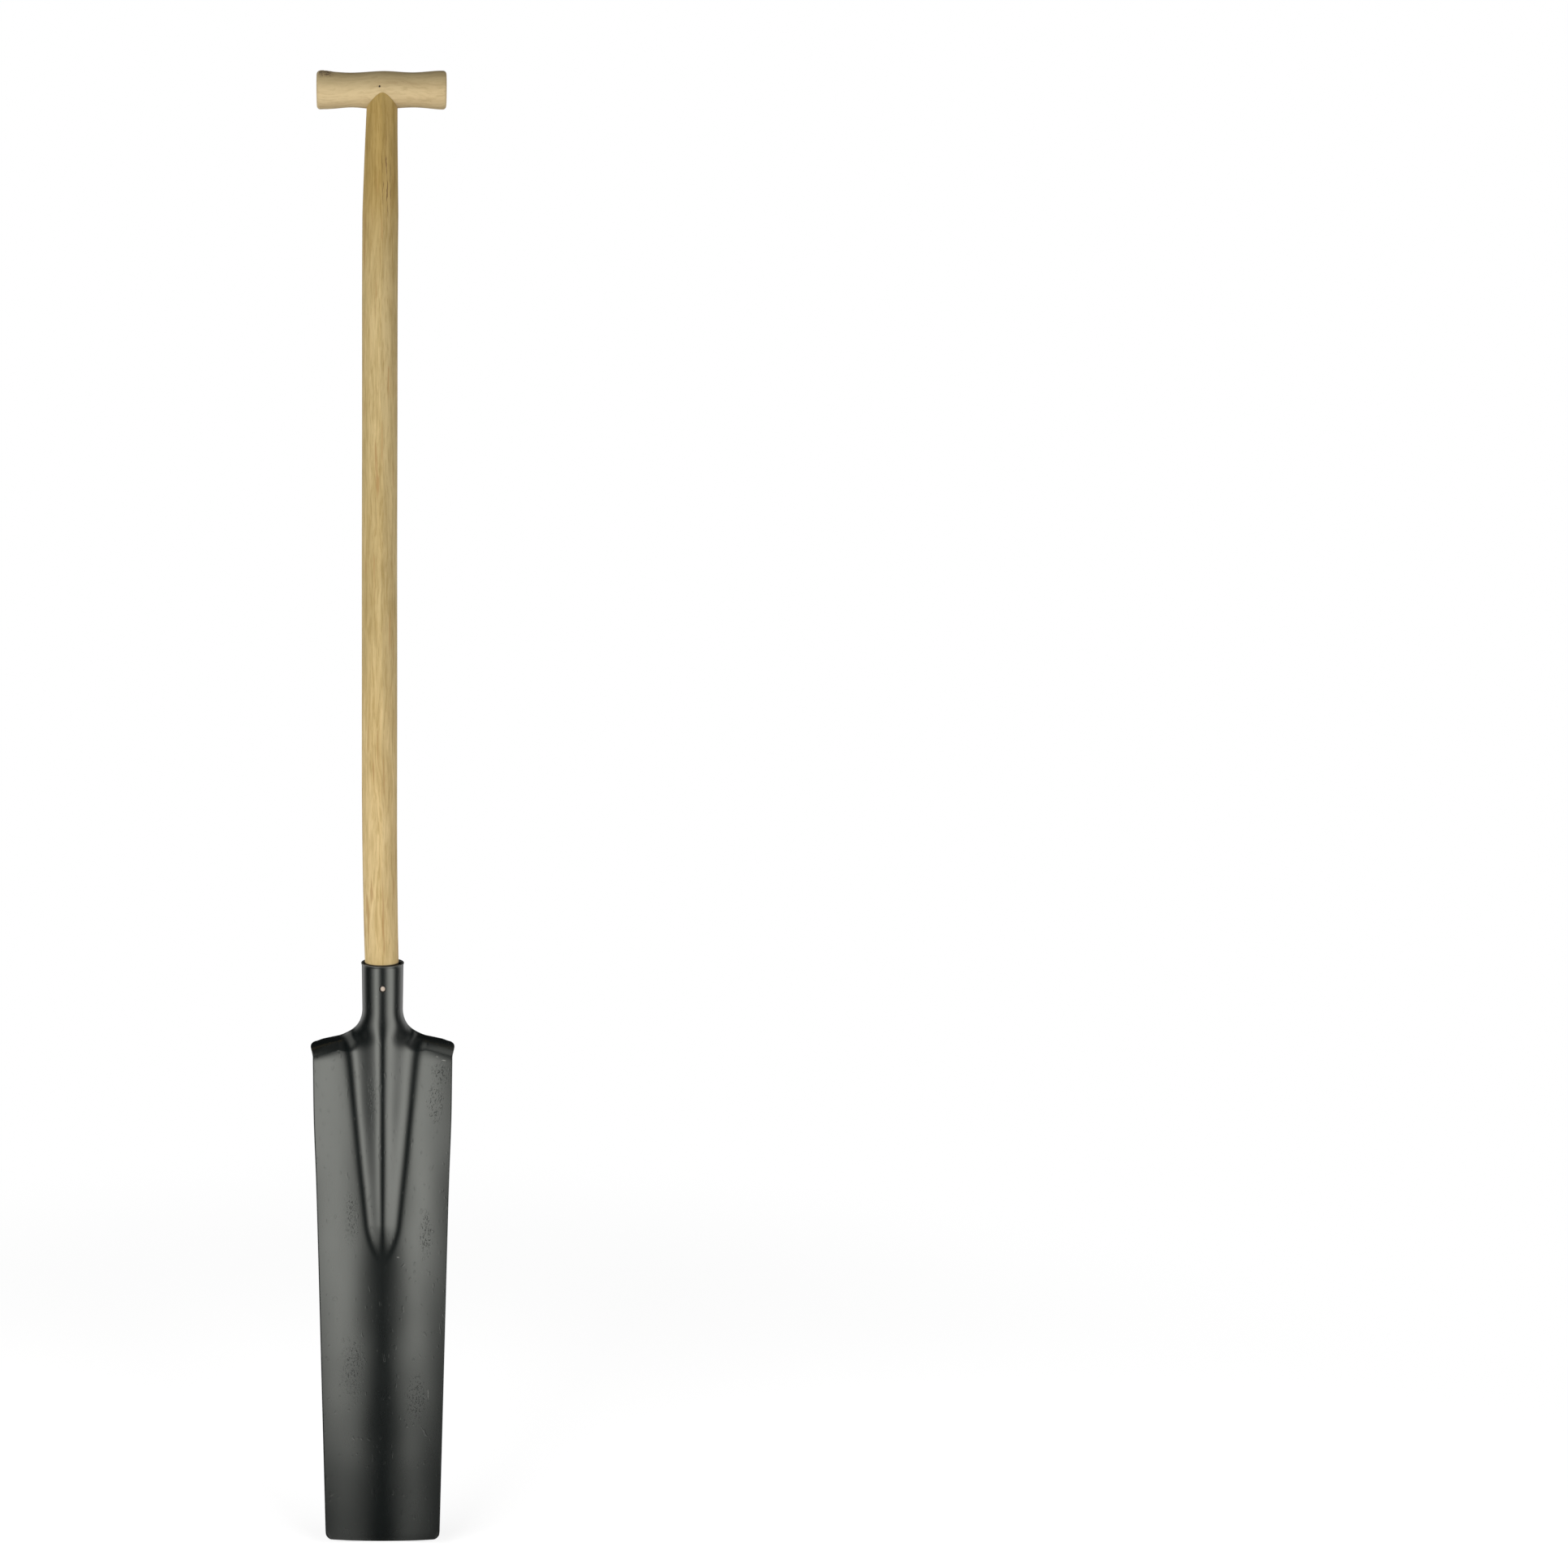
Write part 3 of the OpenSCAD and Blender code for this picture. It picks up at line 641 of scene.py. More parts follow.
def shaft_section(z, wood):
    """Half width and half depth of the shaft: straight stretches between the diameters at the foot, the taper's top,
    the mouth and the swell's end, less cheeks that are shaved evenly to the top's sizes."""
    heights = np.array([FOOT_Z, FOOT_Z + wood.end_taper, MOUTH_Z, MOUTH_Z + wood.swell_length, GRIP_MIDDLE.z])
    widths = np.array([wood.shaft_end_d, wood.shaft_socket_d, wood.shaft_socket_d, wood.shaft_d, wood.shaft_d])
    depth = np.interp(z, heights, widths) / 2
    shaved = np.clip((z - GRIP_MIDDLE.z + wood.cheek_length) / wood.cheek_length, 0.0, 1.0)
    width = depth - (wood.shaft_d - wood.shaft_top_width) / 2 * shaved
    return width, depth - (wood.shaft_d - wood.shaft_top_depth) / 2 * shaved


def cope_z(x, y, wood):
    """Height at which a line up through (x, y) comes to the grip's underside, a circle of its radius and the gap."""
    r = grip_radius(x, wood) + wood.cope_gap
    return GRIP_MIDDLE.z - np.sqrt(np.maximum(0.0, r**2 - (y - GRIP_MIDDLE.y) ** 2))


def shaft_surface(wood):
    """Closed shaft: ellipses of the section round the bowed middle line, the last ones bent to the grip's underside,
    then a coped end whose rings shrink evenly to its middle."""
    a = around(SHAFT_SIDES)
    top = np.full(a.shape, GRIP_MIDDLE.z)
    for _ in range(COPE_ROUNDS):
        half_x, half_y = shaft_section(top, wood)
        top = cope_z(shaft_centre(top, wood) + half_x * np.cos(a), GRIP_MIDDLE.y + half_y * np.sin(a), wood)
    taper_top = FOOT_Z + wood.end_taper
    bend_from = GRIP_MIDDLE.z - wood.grip_mid_d
    straight = [
        np.linspace(FOOT_Z + FOOT_CHAMFER, taper_top, TAPER_RINGS),
        np.linspace(taper_top, MOUTH_Z, SEAT_RINGS)[1:],
        np.linspace(MOUTH_Z, bend_from, STICK_RINGS)[1:],
    ]
    straight = np.repeat(np.concatenate(straight)[:, None], SHAFT_SIDES, axis=1)
    z = np.concatenate([straight, mix(bend_from, top, np.linspace(0, 1, BEND_RINGS)[1:, None])])
    half_x, half_y = shaft_section(z, wood)
    steady = smooth((z - bend_from + STEADY_LENGTH) / STEADY_LENGTH)
    wander = mix(waves(SHAFT_WANDER, z, a, 1.0), 1.0, steady)
    x = shaft_centre(z, wood) + half_x * wander * np.cos(a)
    y = GRIP_MIDDLE.y + half_y * wander * np.sin(a)
    foot_r = wood.shaft_end_d / 2 - FOOT_CHAMFER
    foot = stack(foot_r * np.cos(a), GRIP_MIDDLE.y + foot_r * np.sin(a), FOOT_Z)
    inset = np.linspace(1, 0, CAP_RINGS)[1:-1, None]
    cap_x, cap_y = inset * x[-1:], GRIP_MIDDLE.y + inset * (y[-1:] - GRIP_MIDDLE.y)
    cap = stack(cap_x, cap_y, cope_z(cap_x, cap_y, wood))
    return capped_tube(np.concatenate([foot, stack(x, y, z), cap]))


def grip_surface(wood):
    """Closed grip: circles of the turned profile along X, with a hand-turned wander, a bell-shaped dimple round the
    nail, a rough bark corner, a bell-shaped swell over the right waist and a left end that is drawn out."""
    half = GRIP_HIGH.x
    edge = half - wood.grip_edge
    rounding = edge + wood.grip_edge * np.sin(np.linspace(0, np.pi / 2, EDGE_RINGS))[1:]
    x = np.concatenate([-rounding[::-1], np.linspace(-edge, edge, GRIP_RINGS), rounding])[:, None]
    a = around(GRIP_SIDES)
    r = grip_radius(x, wood)
    from_nail = np.sqrt((x - NAIL_X) ** 2 + (np.sin(a) * r) ** 2)
    dimple = wood.nail_dimple * np.exp(-((from_nail / DIMPLE_RADIUS) ** 2)) * (np.cos(a) > 0.0)
    bark_from = np.sqrt(((x - BARK_X) / BARK_HALF) ** 2 + ((a - BARK_TURN) / BARK_HALF_TURN) ** 2)
    # splinters: two fine crossing waves multiplied, and a third added
    rough = np.sin(1450.0 * x + 5.0 * a) * np.sin(21.0 * a + 700.0 * x) + 0.6 * np.sin(2300.0 * x - 34.0 * a)
    bark = smooth(1.35 - bark_from) * (BARK_HEIGHT + BARK_ROUGH * rough)
    inset = smooth((half - np.abs(x)) / (2.0 * wood.grip_edge))
    flank = FLANK_HEIGHT * np.exp(-(((x - wood.grip_waist_at) / FLANK_SPREAD) ** 2)) * np.maximum(0.0, np.sin(a))
    r = r + waves(GRIP_WANDER, x, a) * inset - dimple + bark + flank
    x = x - wood.grip_longer * smooth((-x - LONGER_FROM) / (half - LONGER_FROM))
    rings = stack(x, GRIP_MIDDLE.y - r * np.cos(a), GRIP_MIDDLE.z + r * np.sin(a))
    shrink = np.linspace(1, 0, CAP_RINGS)[1:-1, None, None]
    left, right = (
        mix(np.array([x[end, 0], GRIP_MIDDLE.y, GRIP_MIDDLE.z]), rings[[end]], shrink) for end in (0, -1)
    )
    return capped_tube(np.concatenate([left[::-1], rings, right]), turned=True)


# Materials


class Finish:
    """A node tree under construction. Each method adds its nodes and gives an output socket."""

    def __init__(self, tree):
        self.tree = tree

    def add(self, kind, **settings):
        """A node of one kind with its settings."""
        made = self.tree.nodes.new(kind)
        for name, value in settings.items():
            setattr(made, name, value)
        return made

    def feed(self, socket, value):
        """Links a socket or sets a plain value."""
        if isinstance(value, bpy.types.NodeSocket):
            self.tree.links.new(value, socket)
        else:
            socket.default_value = value

    def math(self, operation, a, b=0.0, clamp=False):
        """One sum on plain numbers."""
        made = self.add("ShaderNodeMath", operation=operation, use_clamp=clamp)
        self.feed(made.inputs[0], a)
        self.feed(made.inputs[1], b)
        return made.outputs[0]

    def times(self, a, b):
        """Product of two numbers."""
        return self.math("MULTIPLY", a, b)

    def plus(self, a, b, clamp=False):
        """Sum of two numbers."""
        return self.math("ADD", a, b, clamp)

    def less(self, a, b):
        """First number less the second."""
        return self.math("SUBTRACT", a, b)

    def vector(self, operation, a, b=(0.0, 0.0, 0.0)):
        """One sum on vectors; length and distance give a number."""
        made = self.add("ShaderNodeVectorMath", operation=operation)
        self.feed(made.inputs[0], a)
        self.feed(made.inputs[1], b)
        return made.outputs["Value" if operation in ("LENGTH", "DISTANCE") else "Vector"]

    def noise(self, vector, scale, detail=2.0, roughness=0.5, distortion=0.0, output="Fac"):
        """Noise from 0 to 1 with so many waves per metre, the same all ways or given along x, y and z."""
        made = self.add("ShaderNodeTexNoise")
        if isinstance(scale, tuple):
            vector, scale = self.vector("MULTIPLY", vector, scale), 1.0
        numbers = {"Scale": scale, "Detail": detail, "Roughness": roughness, "Distortion": distortion}
        for name, value in {"Vector": vector, **numbers}.items():
            self.feed(made.inputs[name], value)
        return made.outputs[output]

    def rise(self, value, low, high, to_low=0.0, to_high=1.0):
        """Smooth step from one number to another while a value goes from low to high."""
        made = self.add("ShaderNodeMapRange", interpolation_type="SMOOTHSTEP")
        self.feed(made.inputs["Value"], value)
        for name, number in (("From Min", low), ("From Max", high), ("To Min", to_low), ("To Max", to_high)):
            made.inputs[name].default_value = number
        return made.outputs["Result"]

    def blend(self, factor, a, b, mode="MIX"):
        """Blend of two colours, which are the Mix node's inputs 6 and 7 and its output 2."""
        made = self.add("ShaderNodeMix", data_type="RGBA", blend_type=mode)
        self.feed(made.inputs[0], factor)
        self.feed(made.inputs[6], a)
        self.feed(made.inputs[7], b)
        return made.outputs[2]

    def tint(self, cover, tone, shade):
        """A colour multiplied by a shade where it is covered."""
        return self.blend(cover, tone, self.blend(1.0, tone, shade, "MULTIPLY"))

    def split(self, vector):
        """The three parts of a vector."""
        made = self.add("ShaderNodeSeparateXYZ")
        self.feed(made.inputs[0], vector)
        return made.outputs[:3]

    def group(self, tree, **values):
        """A shared group with its own values."""
        made = self.add("ShaderNodeGroup", node_tree=tree)
        for name, value in values.items():
            self.feed(made.inputs[name], value)
        return made.outputs


def rgba(value):
    """A colour with full alpha."""
    return (*value, 1.0)


def new_group(name, inputs, outputs):
    """An empty shader group with named sockets, ready to be filled."""
    tree = bpy.data.node_groups.new(name, "ShaderNodeTree")
    for in_out, sockets in (("INPUT", inputs), ("OUTPUT", outputs)):
        for label, kind in sockets.items():
            tree.interface.new_socket(name=label, in_out=in_out, socket_type="NodeSocket" + kind)
    finish = Finish(tree)
    return finish, finish.add("NodeGroupInput").outputs, finish.add("NodeGroupOutput").inputs


# Waves per metre of the noises: the ragged border of a patch, then the wood's, twice across and once along the grain
PATCH_BORDER = 160.0
GRAIN_WANDER = (26.0, 26.0, 7.0)
BROAD_STREAKS = (80.0, 80.0, 5.0)
FINE_STREAKS = (420.0, 420.0, 22.0)
PORE_DASHES = (1300.0, 1300.0, 60.0)
# In metres: how far the grain wanders, the way from the pith to the wood's middle, and one growth line to the next
GRAIN_SHIFT = (0.018, 0.018, 0.0)
FROM_PITH = (0.013, -0.026, 0.0)
RING_SPACING = 0.0031


def soft_patch_group():
    """Mask of one soft patch: 1 at its centre, 0 past its size, with a ragged border."""
    made = bpy.data.node_groups.get("soft_patch")
    if made:
        return made
    finish, given, out = new_group(
        "soft_patch", {"Vector": "Vector", "Centre": "Vector", "Size": "Vector"}, {"Mask": "Float"}
    )
    from_centre = finish.vector("DIVIDE", finish.vector("SUBTRACT", given["Vector"], given["Centre"]), given["Size"])
    ragged = finish.times(finish.noise(given["Vector"], PATCH_BORDER, detail=3.0), 0.7)
    reach = finish.plus(finish.vector("LENGTH", from_centre), ragged)
    finish.feed(out["Mask"], finish.rise(reach, 0.55, 1.3, 1.0, 0.0))
    return finish.tree


def wood_grain_group():
    """Long-grained wood with its grain along the vector's z: broad streaks, growth lines that wander, and pores."""
    made = bpy.data.node_groups.get("wood_grain")
    if made:
        return made
    finish, given, out = new_group(
        "wood_grain",
        {"Vector": "Vector", "Pale": "Color", "Deep": "Color", "Figure": "Float", "Pores": "Float"},
        {"Color": "Color", "Roughness": "Float", "Height": "Float"},
    )
    place = given["Vector"]
    wander = finish.noise(place, GRAIN_WANDER, detail=3.0, roughness=0.55, output="Color")
    shifted = finish.vector("MULTIPLY", finish.vector("SUBTRACT", wander, (0.5, 0.5, 0.5)), GRAIN_SHIFT)
    bent = finish.vector("ADD", place, shifted)
    broad = finish.noise(bent, BROAD_STREAKS, detail=4.0, roughness=0.6)
    fine = finish.noise(bent, FINE_STREAKS, detail=3.0, roughness=0.65)
    from_pith = finish.vector("MULTIPLY", finish.vector("ADD", bent, FROM_PITH), (1.0, 1.0, 0.0))
    radius = finish.vector("LENGTH", from_pith)
    ring = finish.math("SINE", finish.times(radius, 2.0 * math.pi / RING_SPACING))
    lines = finish.math("POWER", finish.rise(ring, -0.6, 1.0), 2.2)
    dashes = finish.noise(place, PORE_DASHES, roughness=0.6)
    pores = finish.times(finish.rise(dashes, 0.57, 0.71), given["Pores"])
    deep = finish.times(finish.rise(broad, 0.38, 0.64), 0.45)
    deep = finish.plus(deep, finish.times(finish.rise(fine, 0.44, 0.64), 0.42))
    deep = finish.plus(deep, finish.times(lines, given["Figure"]))
    deep = finish.plus(deep, pores, clamp=True)
    finish.feed(out["Color"], finish.blend(deep, given["Pale"], given["Deep"]))
    finish.feed(out["Roughness"], finish.rise(fine, 0.2, 0.8, 0.52, 0.70))
    relief = finish.less(finish.times(fine, 0.5), finish.times(pores, 0.8))
    finish.feed(out["Height"], finish.less(relief, finish.times(lines, 0.25)))
    return finish.tree


def mouth_height_group(sizes):
    """Height over the socket's mouth, a plane that drops evenly towards the front."""
    made = bpy.data.node_groups.get("mouth_height")
    if made:
        return made
    finish, given, out = new_group("mouth_height", {"Vector": "Vector"}, {"Height": "Float"})
    _, y, z = finish.split(given["Vector"])
    radius = sizes.mouth_d / 2
    front = sizes.mouth_slant / 2 * (1.0 + (HEAD_HIGH.y - radius - sizes.mouth_lip) / radius)
    slanted = finish.less(z, finish.times(y, sizes.mouth_slant / 2 / radius))
    finish.feed(out["Height"], finish.plus(slanted, front - MOUTH_Z))
    return finish.tree


def new_finish(name):
    """A material with its principled shader and Object coordinates."""
    material = bpy.data.materials.new(name)
    material.use_nodes = True
    finish = Finish(material.node_tree)
    shader = material.node_tree.nodes["Principled BSDF"]
    place = finish.add("ShaderNodeTexCoord").outputs["Object"]
    return material, finish, shader, place


def bump(finish, shader, height, distance, strength):
    """Fine relief from a height of 0 to 1."""
    made = finish.add("ShaderNodeBump")
    made.inputs["Distance"].default_value = distance
    made.inputs["Strength"].default_value = strength
    finish.feed(made.inputs["Height"], height)
    finish.feed(shader.inputs["Normal"], made.outputs["Normal"])


# Middle and half size of each patch where the paint has wrinkled, in metres
PAINT_PATCHES = (
    ((-0.0105, 0.020, 0.463), (0.0075, 0.05, 0.052)),
    ((0.0600, 0.022, 0.487), (0.0130, 0.05, 0.020)),
    ((0.0540, 0.022, 0.458), (0.0130, 0.05, 0.030)),
    ((-0.0320, 0.012, 0.340), (0.0110, 0.05, 0.048)),
    ((0.0450, 0.012, 0.322), (0.0100, 0.05, 0.036)),
    ((-0.0290, 0.008, 0.180), (0.0190, 0.05, 0.052)),
    ((0.0360, 0.006, 0.150), (0.0160, 0.05, 0.034)),
)
# Middle and half size of each spot where the paint is chipped or scratched, in metres; the first two, on the
# right tread, are painted highlight instead: a pale streak where the tread's roll would catch light
PAINT_CHIPS_AND_STREAK = (
    ((0.0630, 0.0200, 0.5030), (0.0028, 0.02, 0.0009)),
    ((0.0560, 0.0190, 0.5060), (0.0018, 0.02, 0.0008)),
    ((-0.0058, 0.0178, 0.5700), (0.0009, 0.01, 0.0009)),
    ((0.0470, 0.0060, 0.1570), (0.0007, 0.02, 0.0070)),
    ((0.0160, 0.0160, 0.2960), (0.0020, 0.02, 0.0012)),
)


def any_patch(finish, place, patches):
    """Mask of all the patches of a list together."""
    mask = None
    for centre, size in patches:
        one = finish.group(soft_patch_group(), Vector=place, Centre=centre, Size=size)["Mask"]
        mask = one if mask is None else finish.math("MAXIMUM", mask, one)
    return mask


# Waves per metre of the paint's noises, and its index of refraction
PAINT_SLOW = (14.0, 14.0, 5.0)
PAINT_PEEL = 900.0
PAINT_RUNS = (700.0, 700.0, 330.0)
PAINT_PITS = (260.0, 260.0, 170.0)
PAINT_DUST = (900.0, 900.0, 600.0)
PAINT_IOR = 1.52


def paint_finish(colours, sizes):
    """Semi-gloss black paint: slow changes of gloss, fine orange peel, wrinkled patches, pits, chips, and painted
    highlight along the mouth's rim and in a streak on the right tread."""
    material, finish, shader, place = new_finish("head_paint")
    slow = finish.noise(place, PAINT_SLOW, detail=4.0, roughness=0.6)
    peel = finish.noise(place, PAINT_PEEL)
    runs = finish.noise(place, PAINT_RUNS, roughness=0.6, distortion=0.4)
    wrinkles = finish.times(finish.rise(runs, 0.52, 0.72), any_patch(finish, place, PAINT_PATCHES))
    pits = finish.rise(finish.noise(place, PAINT_PITS, detail=0.0), 0.74, 0.80)
    dust = finish.rise(finish.noise(place, PAINT_DUST, detail=1.0), 0.74, 0.80)
    specks = finish.times(dust, finish.rise(slow, 0.50, 0.70))
    rubbed = finish.plus(finish.times(finish.rise(slow, 0.42, 0.75), 0.35), specks, clamp=True)
    tone = finish.blend(rubbed, rgba(colours.paint), rgba(colours.paint_worn))
    mouth = finish.group(mouth_height_group(sizes), Vector=place)["Height"]
    # painted highlight: a pale line round the mouth's rim, where its rounded edge would catch light
    rim = finish.rise(mouth, -0.0016, -0.0004, 0.0, 0.3)
    chips_and_highlight = finish.math("MAXIMUM", rim, any_patch(finish, place, PAINT_CHIPS_AND_STREAK))
    finish.feed(shader.inputs["Base Color"], finish.blend(chips_and_highlight, tone, rgba(colours.paint_chip_and_highlight)))
    gloss = finish.rise(slow, 0.25, 0.75, 0.20, 0.28)
    gloss = finish.plus(gloss, finish.times(wrinkles, 0.10))
    duller_below = finish.rise(finish.split(place)[2], 0.22, 0.46, 0.04, 0.0)
    finish.feed(shader.inputs["Roughness"], finish.plus(gloss, duller_below))
    shader.inputs["IOR"].default_value = PAINT_IOR
    shader.inputs["Specular Tint"].default_value = rgba(colours.paint_sheen)
    height = finish.plus(finish.times(peel, 0.10), finish.times(wrinkles, -1.1))
    bump(finish, shader, finish.less(height, finish.times(pits, 0.55)), distance=0.0002, strength=0.55)
    return material


# Waves per metre of the shaft's noises, the wavy open grain's middle, half size and spacing, and plain shades, of
# which the last two are painted shadow round the fixing hole and in the gap at the mouth
SHAFT_SWAY = (6.0, 6.0, 7.0)
SHAFT_MOTTLE = (95.0, 95.0, 14.0)
SHAFT_FLECKS = (300.0, 300.0, 13.0)
OPEN_SWING = (60.0, 60.0, 30.0)
OPEN_GAPS = (300.0, 300.0, 40.0)
OPEN_PATCH = (((0.0050, GRIP_MIDDLE.y - 0.017, 1.390), (0.0100, 0.02, 0.072)),)
OPEN_SPACING = 0.0036
SHAFT_SHADE = (0.80, 0.80, 0.80, 1.0)
SHAFT_MOTTLE_SHADE = (0.87, 0.86, 0.82, 1.0)
HOLE_PAINTED_SHADOW = (0.02, 0.018, 0.015, 1.0)
MOUTH_SHADOW_COLOUR = (0.030, 0.022, 0.012, 1.0)


def shaft_finish(colours, sizes):
    """Long-grained shaft wood: darker to the right of a wandering line, greyer in its upper half, golden with some
    open wavy grain under the grip, and pale where the socket keeps it clean; painted shadow darkens it round the
    fixing hole and in the gap at the mouth."""
    material, finish, shader, place = new_finish("shaft_wood")
    pale, deep = rgba(colours.shaft_pale), rgba(colours.shaft_deep)
    grain = finish.group(wood_grain_group(), Vector=place, Pale=pale, Deep=deep, Figure=0.14, Pores=0.60)
    x, _, z = finish.split(place)
    sway = finish.less(finish.noise(place, SHAFT_SWAY, detail=3.0), 0.5)
    border = finish.plus(x, finish.times(sway, 0.012))
    height = finish.plus(z, finish.times(sway, 0.10))
    mottle = finish.noise(place, SHAFT_MOTTLE, detail=4.0, roughness=0.65, distortion=0.6)
    right_side = finish.times(finish.rise(border, -0.0018, 0.0002), finish.rise(z, 0.62, 0.76, 0.2, 0.6))
    tone = grain["Color"]
    for cover, shade in (
        (right_side, SHAFT_SHADE),
        (finish.rise(mottle, 0.42, 0.58, 0.0, 0.8), SHAFT_MOTTLE_SHADE),
        (finish.rise(height, 0.76, 0.98), rgba(colours.shaft_upper)),
        (finish.rise(height, 1.28, 1.40), rgba(colours.shaft_top)),
    ):
        tone = finish.tint(cover, tone, shade)
    flecks = finish.noise(place, SHAFT_FLECKS)
    tone = finish.blend(finish.rise(flecks, 0.63, 0.69, 0.0, 0.7), tone, rgba(colours.shaft_fleck))

    # open grain: sine lines along the shaft that swing sideways and break off
    swing = finish.noise(place, OPEN_SWING, detail=3.0, roughness=0.6)
    phase = finish.plus(finish.times(x, 2.0 * math.pi / OPEN_SPACING), finish.times(swing, 16.0))
    gaps = finish.noise(place, OPEN_GAPS, detail=1.0)
    lines = finish.times(finish.rise(finish.math("SINE", phase), 0.55, 0.95), finish.rise(gaps, 0.40, 0.56))
    open_grain = finish.times(lines, any_patch(finish, place, OPEN_PATCH))
    tone = finish.blend(open_grain, tone, rgba(colours.shaft_crack))

    # in the socket: clean wood behind the middle of the fixing hole, painted shadow round it, and painted shadow in
    # the gap at the mouth
    hole = (0.0003, 0.0, MOUTH_Z - sizes.hole_below_mouth - 0.0003)
    from_hole = finish.vector("DISTANCE", finish.vector("MULTIPLY", place, (1.0, 0.0, 1.0)), hole)
    # painted shadow: a dark ring on the wood round the hole's edge, thicker towards its upper left
    clean = finish.blend(finish.rise(from_hole, 0.0020, 0.0028), rgba(colours.shaft_inside), HOLE_PAINTED_SHADOW)
    tone = finish.blend(finish.rise(z, MOUTH_Z - 0.012, MOUTH_Z - 0.008, 1.0, 0.0), tone, clean)
    mouth = finish.group(mouth_height_group(sizes), Vector=place)["Height"]
    # painted shadow: a dark band on the wood just inside and above the mouth, where the gap is in shade
    mouth_shadow = finish.less(finish.rise(mouth, -0.006, -0.004), finish.rise(mouth, 0.0006, 0.0020))
    finish.feed(shader.inputs["Base Color"], finish.blend(mouth_shadow, tone, MOUTH_SHADOW_COLOUR))
    finish.feed(shader.inputs["Roughness"], grain["Roughness"])
    relief = finish.less(grain["Height"], finish.times(open_grain, 1.5))
    bump(finish, shader, relief, distance=0.00025, strength=0.35)
    return material


# Middle and half size of the bark on the grip, and the waves per metre of its roughness
BARK_PATCH = (((-0.0570, GRIP_MIDDLE.y - 0.0115, GRIP_MIDDLE.z + 0.0150), (0.0135, 0.0125, 0.0095)),)
BARK_GRAIN = 420.0
# Waves per metre of the nail's hammer marks, its rust, and the radii between which dust covers it
NAIL_MARKS = 1400.0
NAIL_RUST = (0.030, 0.018, 0.010, 1.0)
NAIL_CLEAN, NAIL_DUSTY = 0.0008, 0.0012


def grip_finish(colours):
    """Paler turned wood with its grain along the grip, painted shade darkening its top, and a trace of bark on one
    corner.
    """
    material, finish, shader, place = new_finish("grip_wood")
    # turns the grain along X, with its middle near the grip's axis and streaks 2.4 times shorter than the shaft's
    laid = finish.add("ShaderNodeMapping")
    laid.inputs["Location"].default_value = (GRIP_MIDDLE.z + 0.004, -GRIP_MIDDLE.y - 0.006, 0.0)
    laid.inputs["Rotation"].default_value = (0.0, -math.pi / 2, 0.0)
    laid.inputs["Scale"].default_value = (2.4, 1.0, 1.0)
    finish.feed(laid.inputs["Vector"], place)
    along, pale, deep = laid.outputs["Vector"], rgba(colours.grip_pale), rgba(colours.grip_deep)
    grain = finish.group(wood_grain_group(), Vector=along, Pale=pale, Deep=deep, Figure=0.05, Pores=0.30)
    rough = finish.noise(place, BARK_GRAIN, detail=4.0, roughness=0.7)
    bark = finish.times(any_patch(finish, place, BARK_PATCH), finish.rise(rough, 0.30, 0.62))
    # painted shade: the colour darkens towards the grip's top, as if less light fell there
    shaded = finish.rise(finish.split(place)[2], GRIP_MIDDLE.z - 0.009, GRIP_MIDDLE.z + 0.013)
    tone = finish.tint(shaded, grain["Color"], rgba(colours.grip_top_shade))
    finish.feed(shader.inputs["Base Color"], finish.blend(bark, tone, rgba(colours.bark)))
    finish.feed(shader.inputs["Roughness"], finish.plus(grain["Roughness"], finish.times(bark, 0.2)))
    relief = finish.plus(grain["Height"], finish.times(bark, rough))
    bump(finish, shader, relief, distance=0.00025, strength=0.30)
    return material


def nail_finish(colours):
    """Dull dark steel with hammer marks; wood dust covers the rim of the nail's head."""
    material, finish, shader, place = new_finish("nail_steel")
    marks = finish.noise(place, NAIL_MARKS)
    steel = finish.blend(finish.rise(marks, 0.45, 0.70), rgba(colours.nail), NAIL_RUST)
    flat = finish.vector("MULTIPLY", place, (1.0, 0.0, 1.0))
    dust = finish.rise(finish.vector("DISTANCE", flat, (NAIL_X, 0.0, NAIL_Z)), NAIL_CLEAN, NAIL_DUSTY)
    finish.feed(shader.inputs["Base Color"], finish.blend(dust, steel, rgba(colours.grip_deep)))
    finish.feed(shader.inputs["Roughness"], finish.rise(marks, 0.3, 0.7, 0.55, 0.75))
    finish.feed(shader.inputs["Metallic"], finish.less(0.8, finish.times(dust, 0.8)))
    bump(finish, shader, marks, distance=0.0002, strength=0.4)
    return material


# Stage


# Floor: half its side, its gap below the spade, the distances between which its shading fades, its colour and the
# light that lifts it, before the lamps, to white
FLOOR_HALF, FLOOR_DROP, FLOOR_NEAR, FLOOR_FAR = 9.0, 0.0002, 0.5, 1.6
FLOOR_WHITE, FLOOR_LIFT = (0.80, 0.80, 0.80, 1.0), 0.62
# Softboxes: the angle from the front and the distance at which they stand, their foot, top and widths
BOX_TURN, BOX_AWAY, BOX_FOOT, BOX_TOP = 48.0, 2.0, 0.02, 1.70
RIGHT_BOX_WIDTH, LEFT_BOX_WIDTH = 2.0, 2.2
SENSOR_WIDTH, VIEW_END = 36.0, 60.0  # millimetres and metres


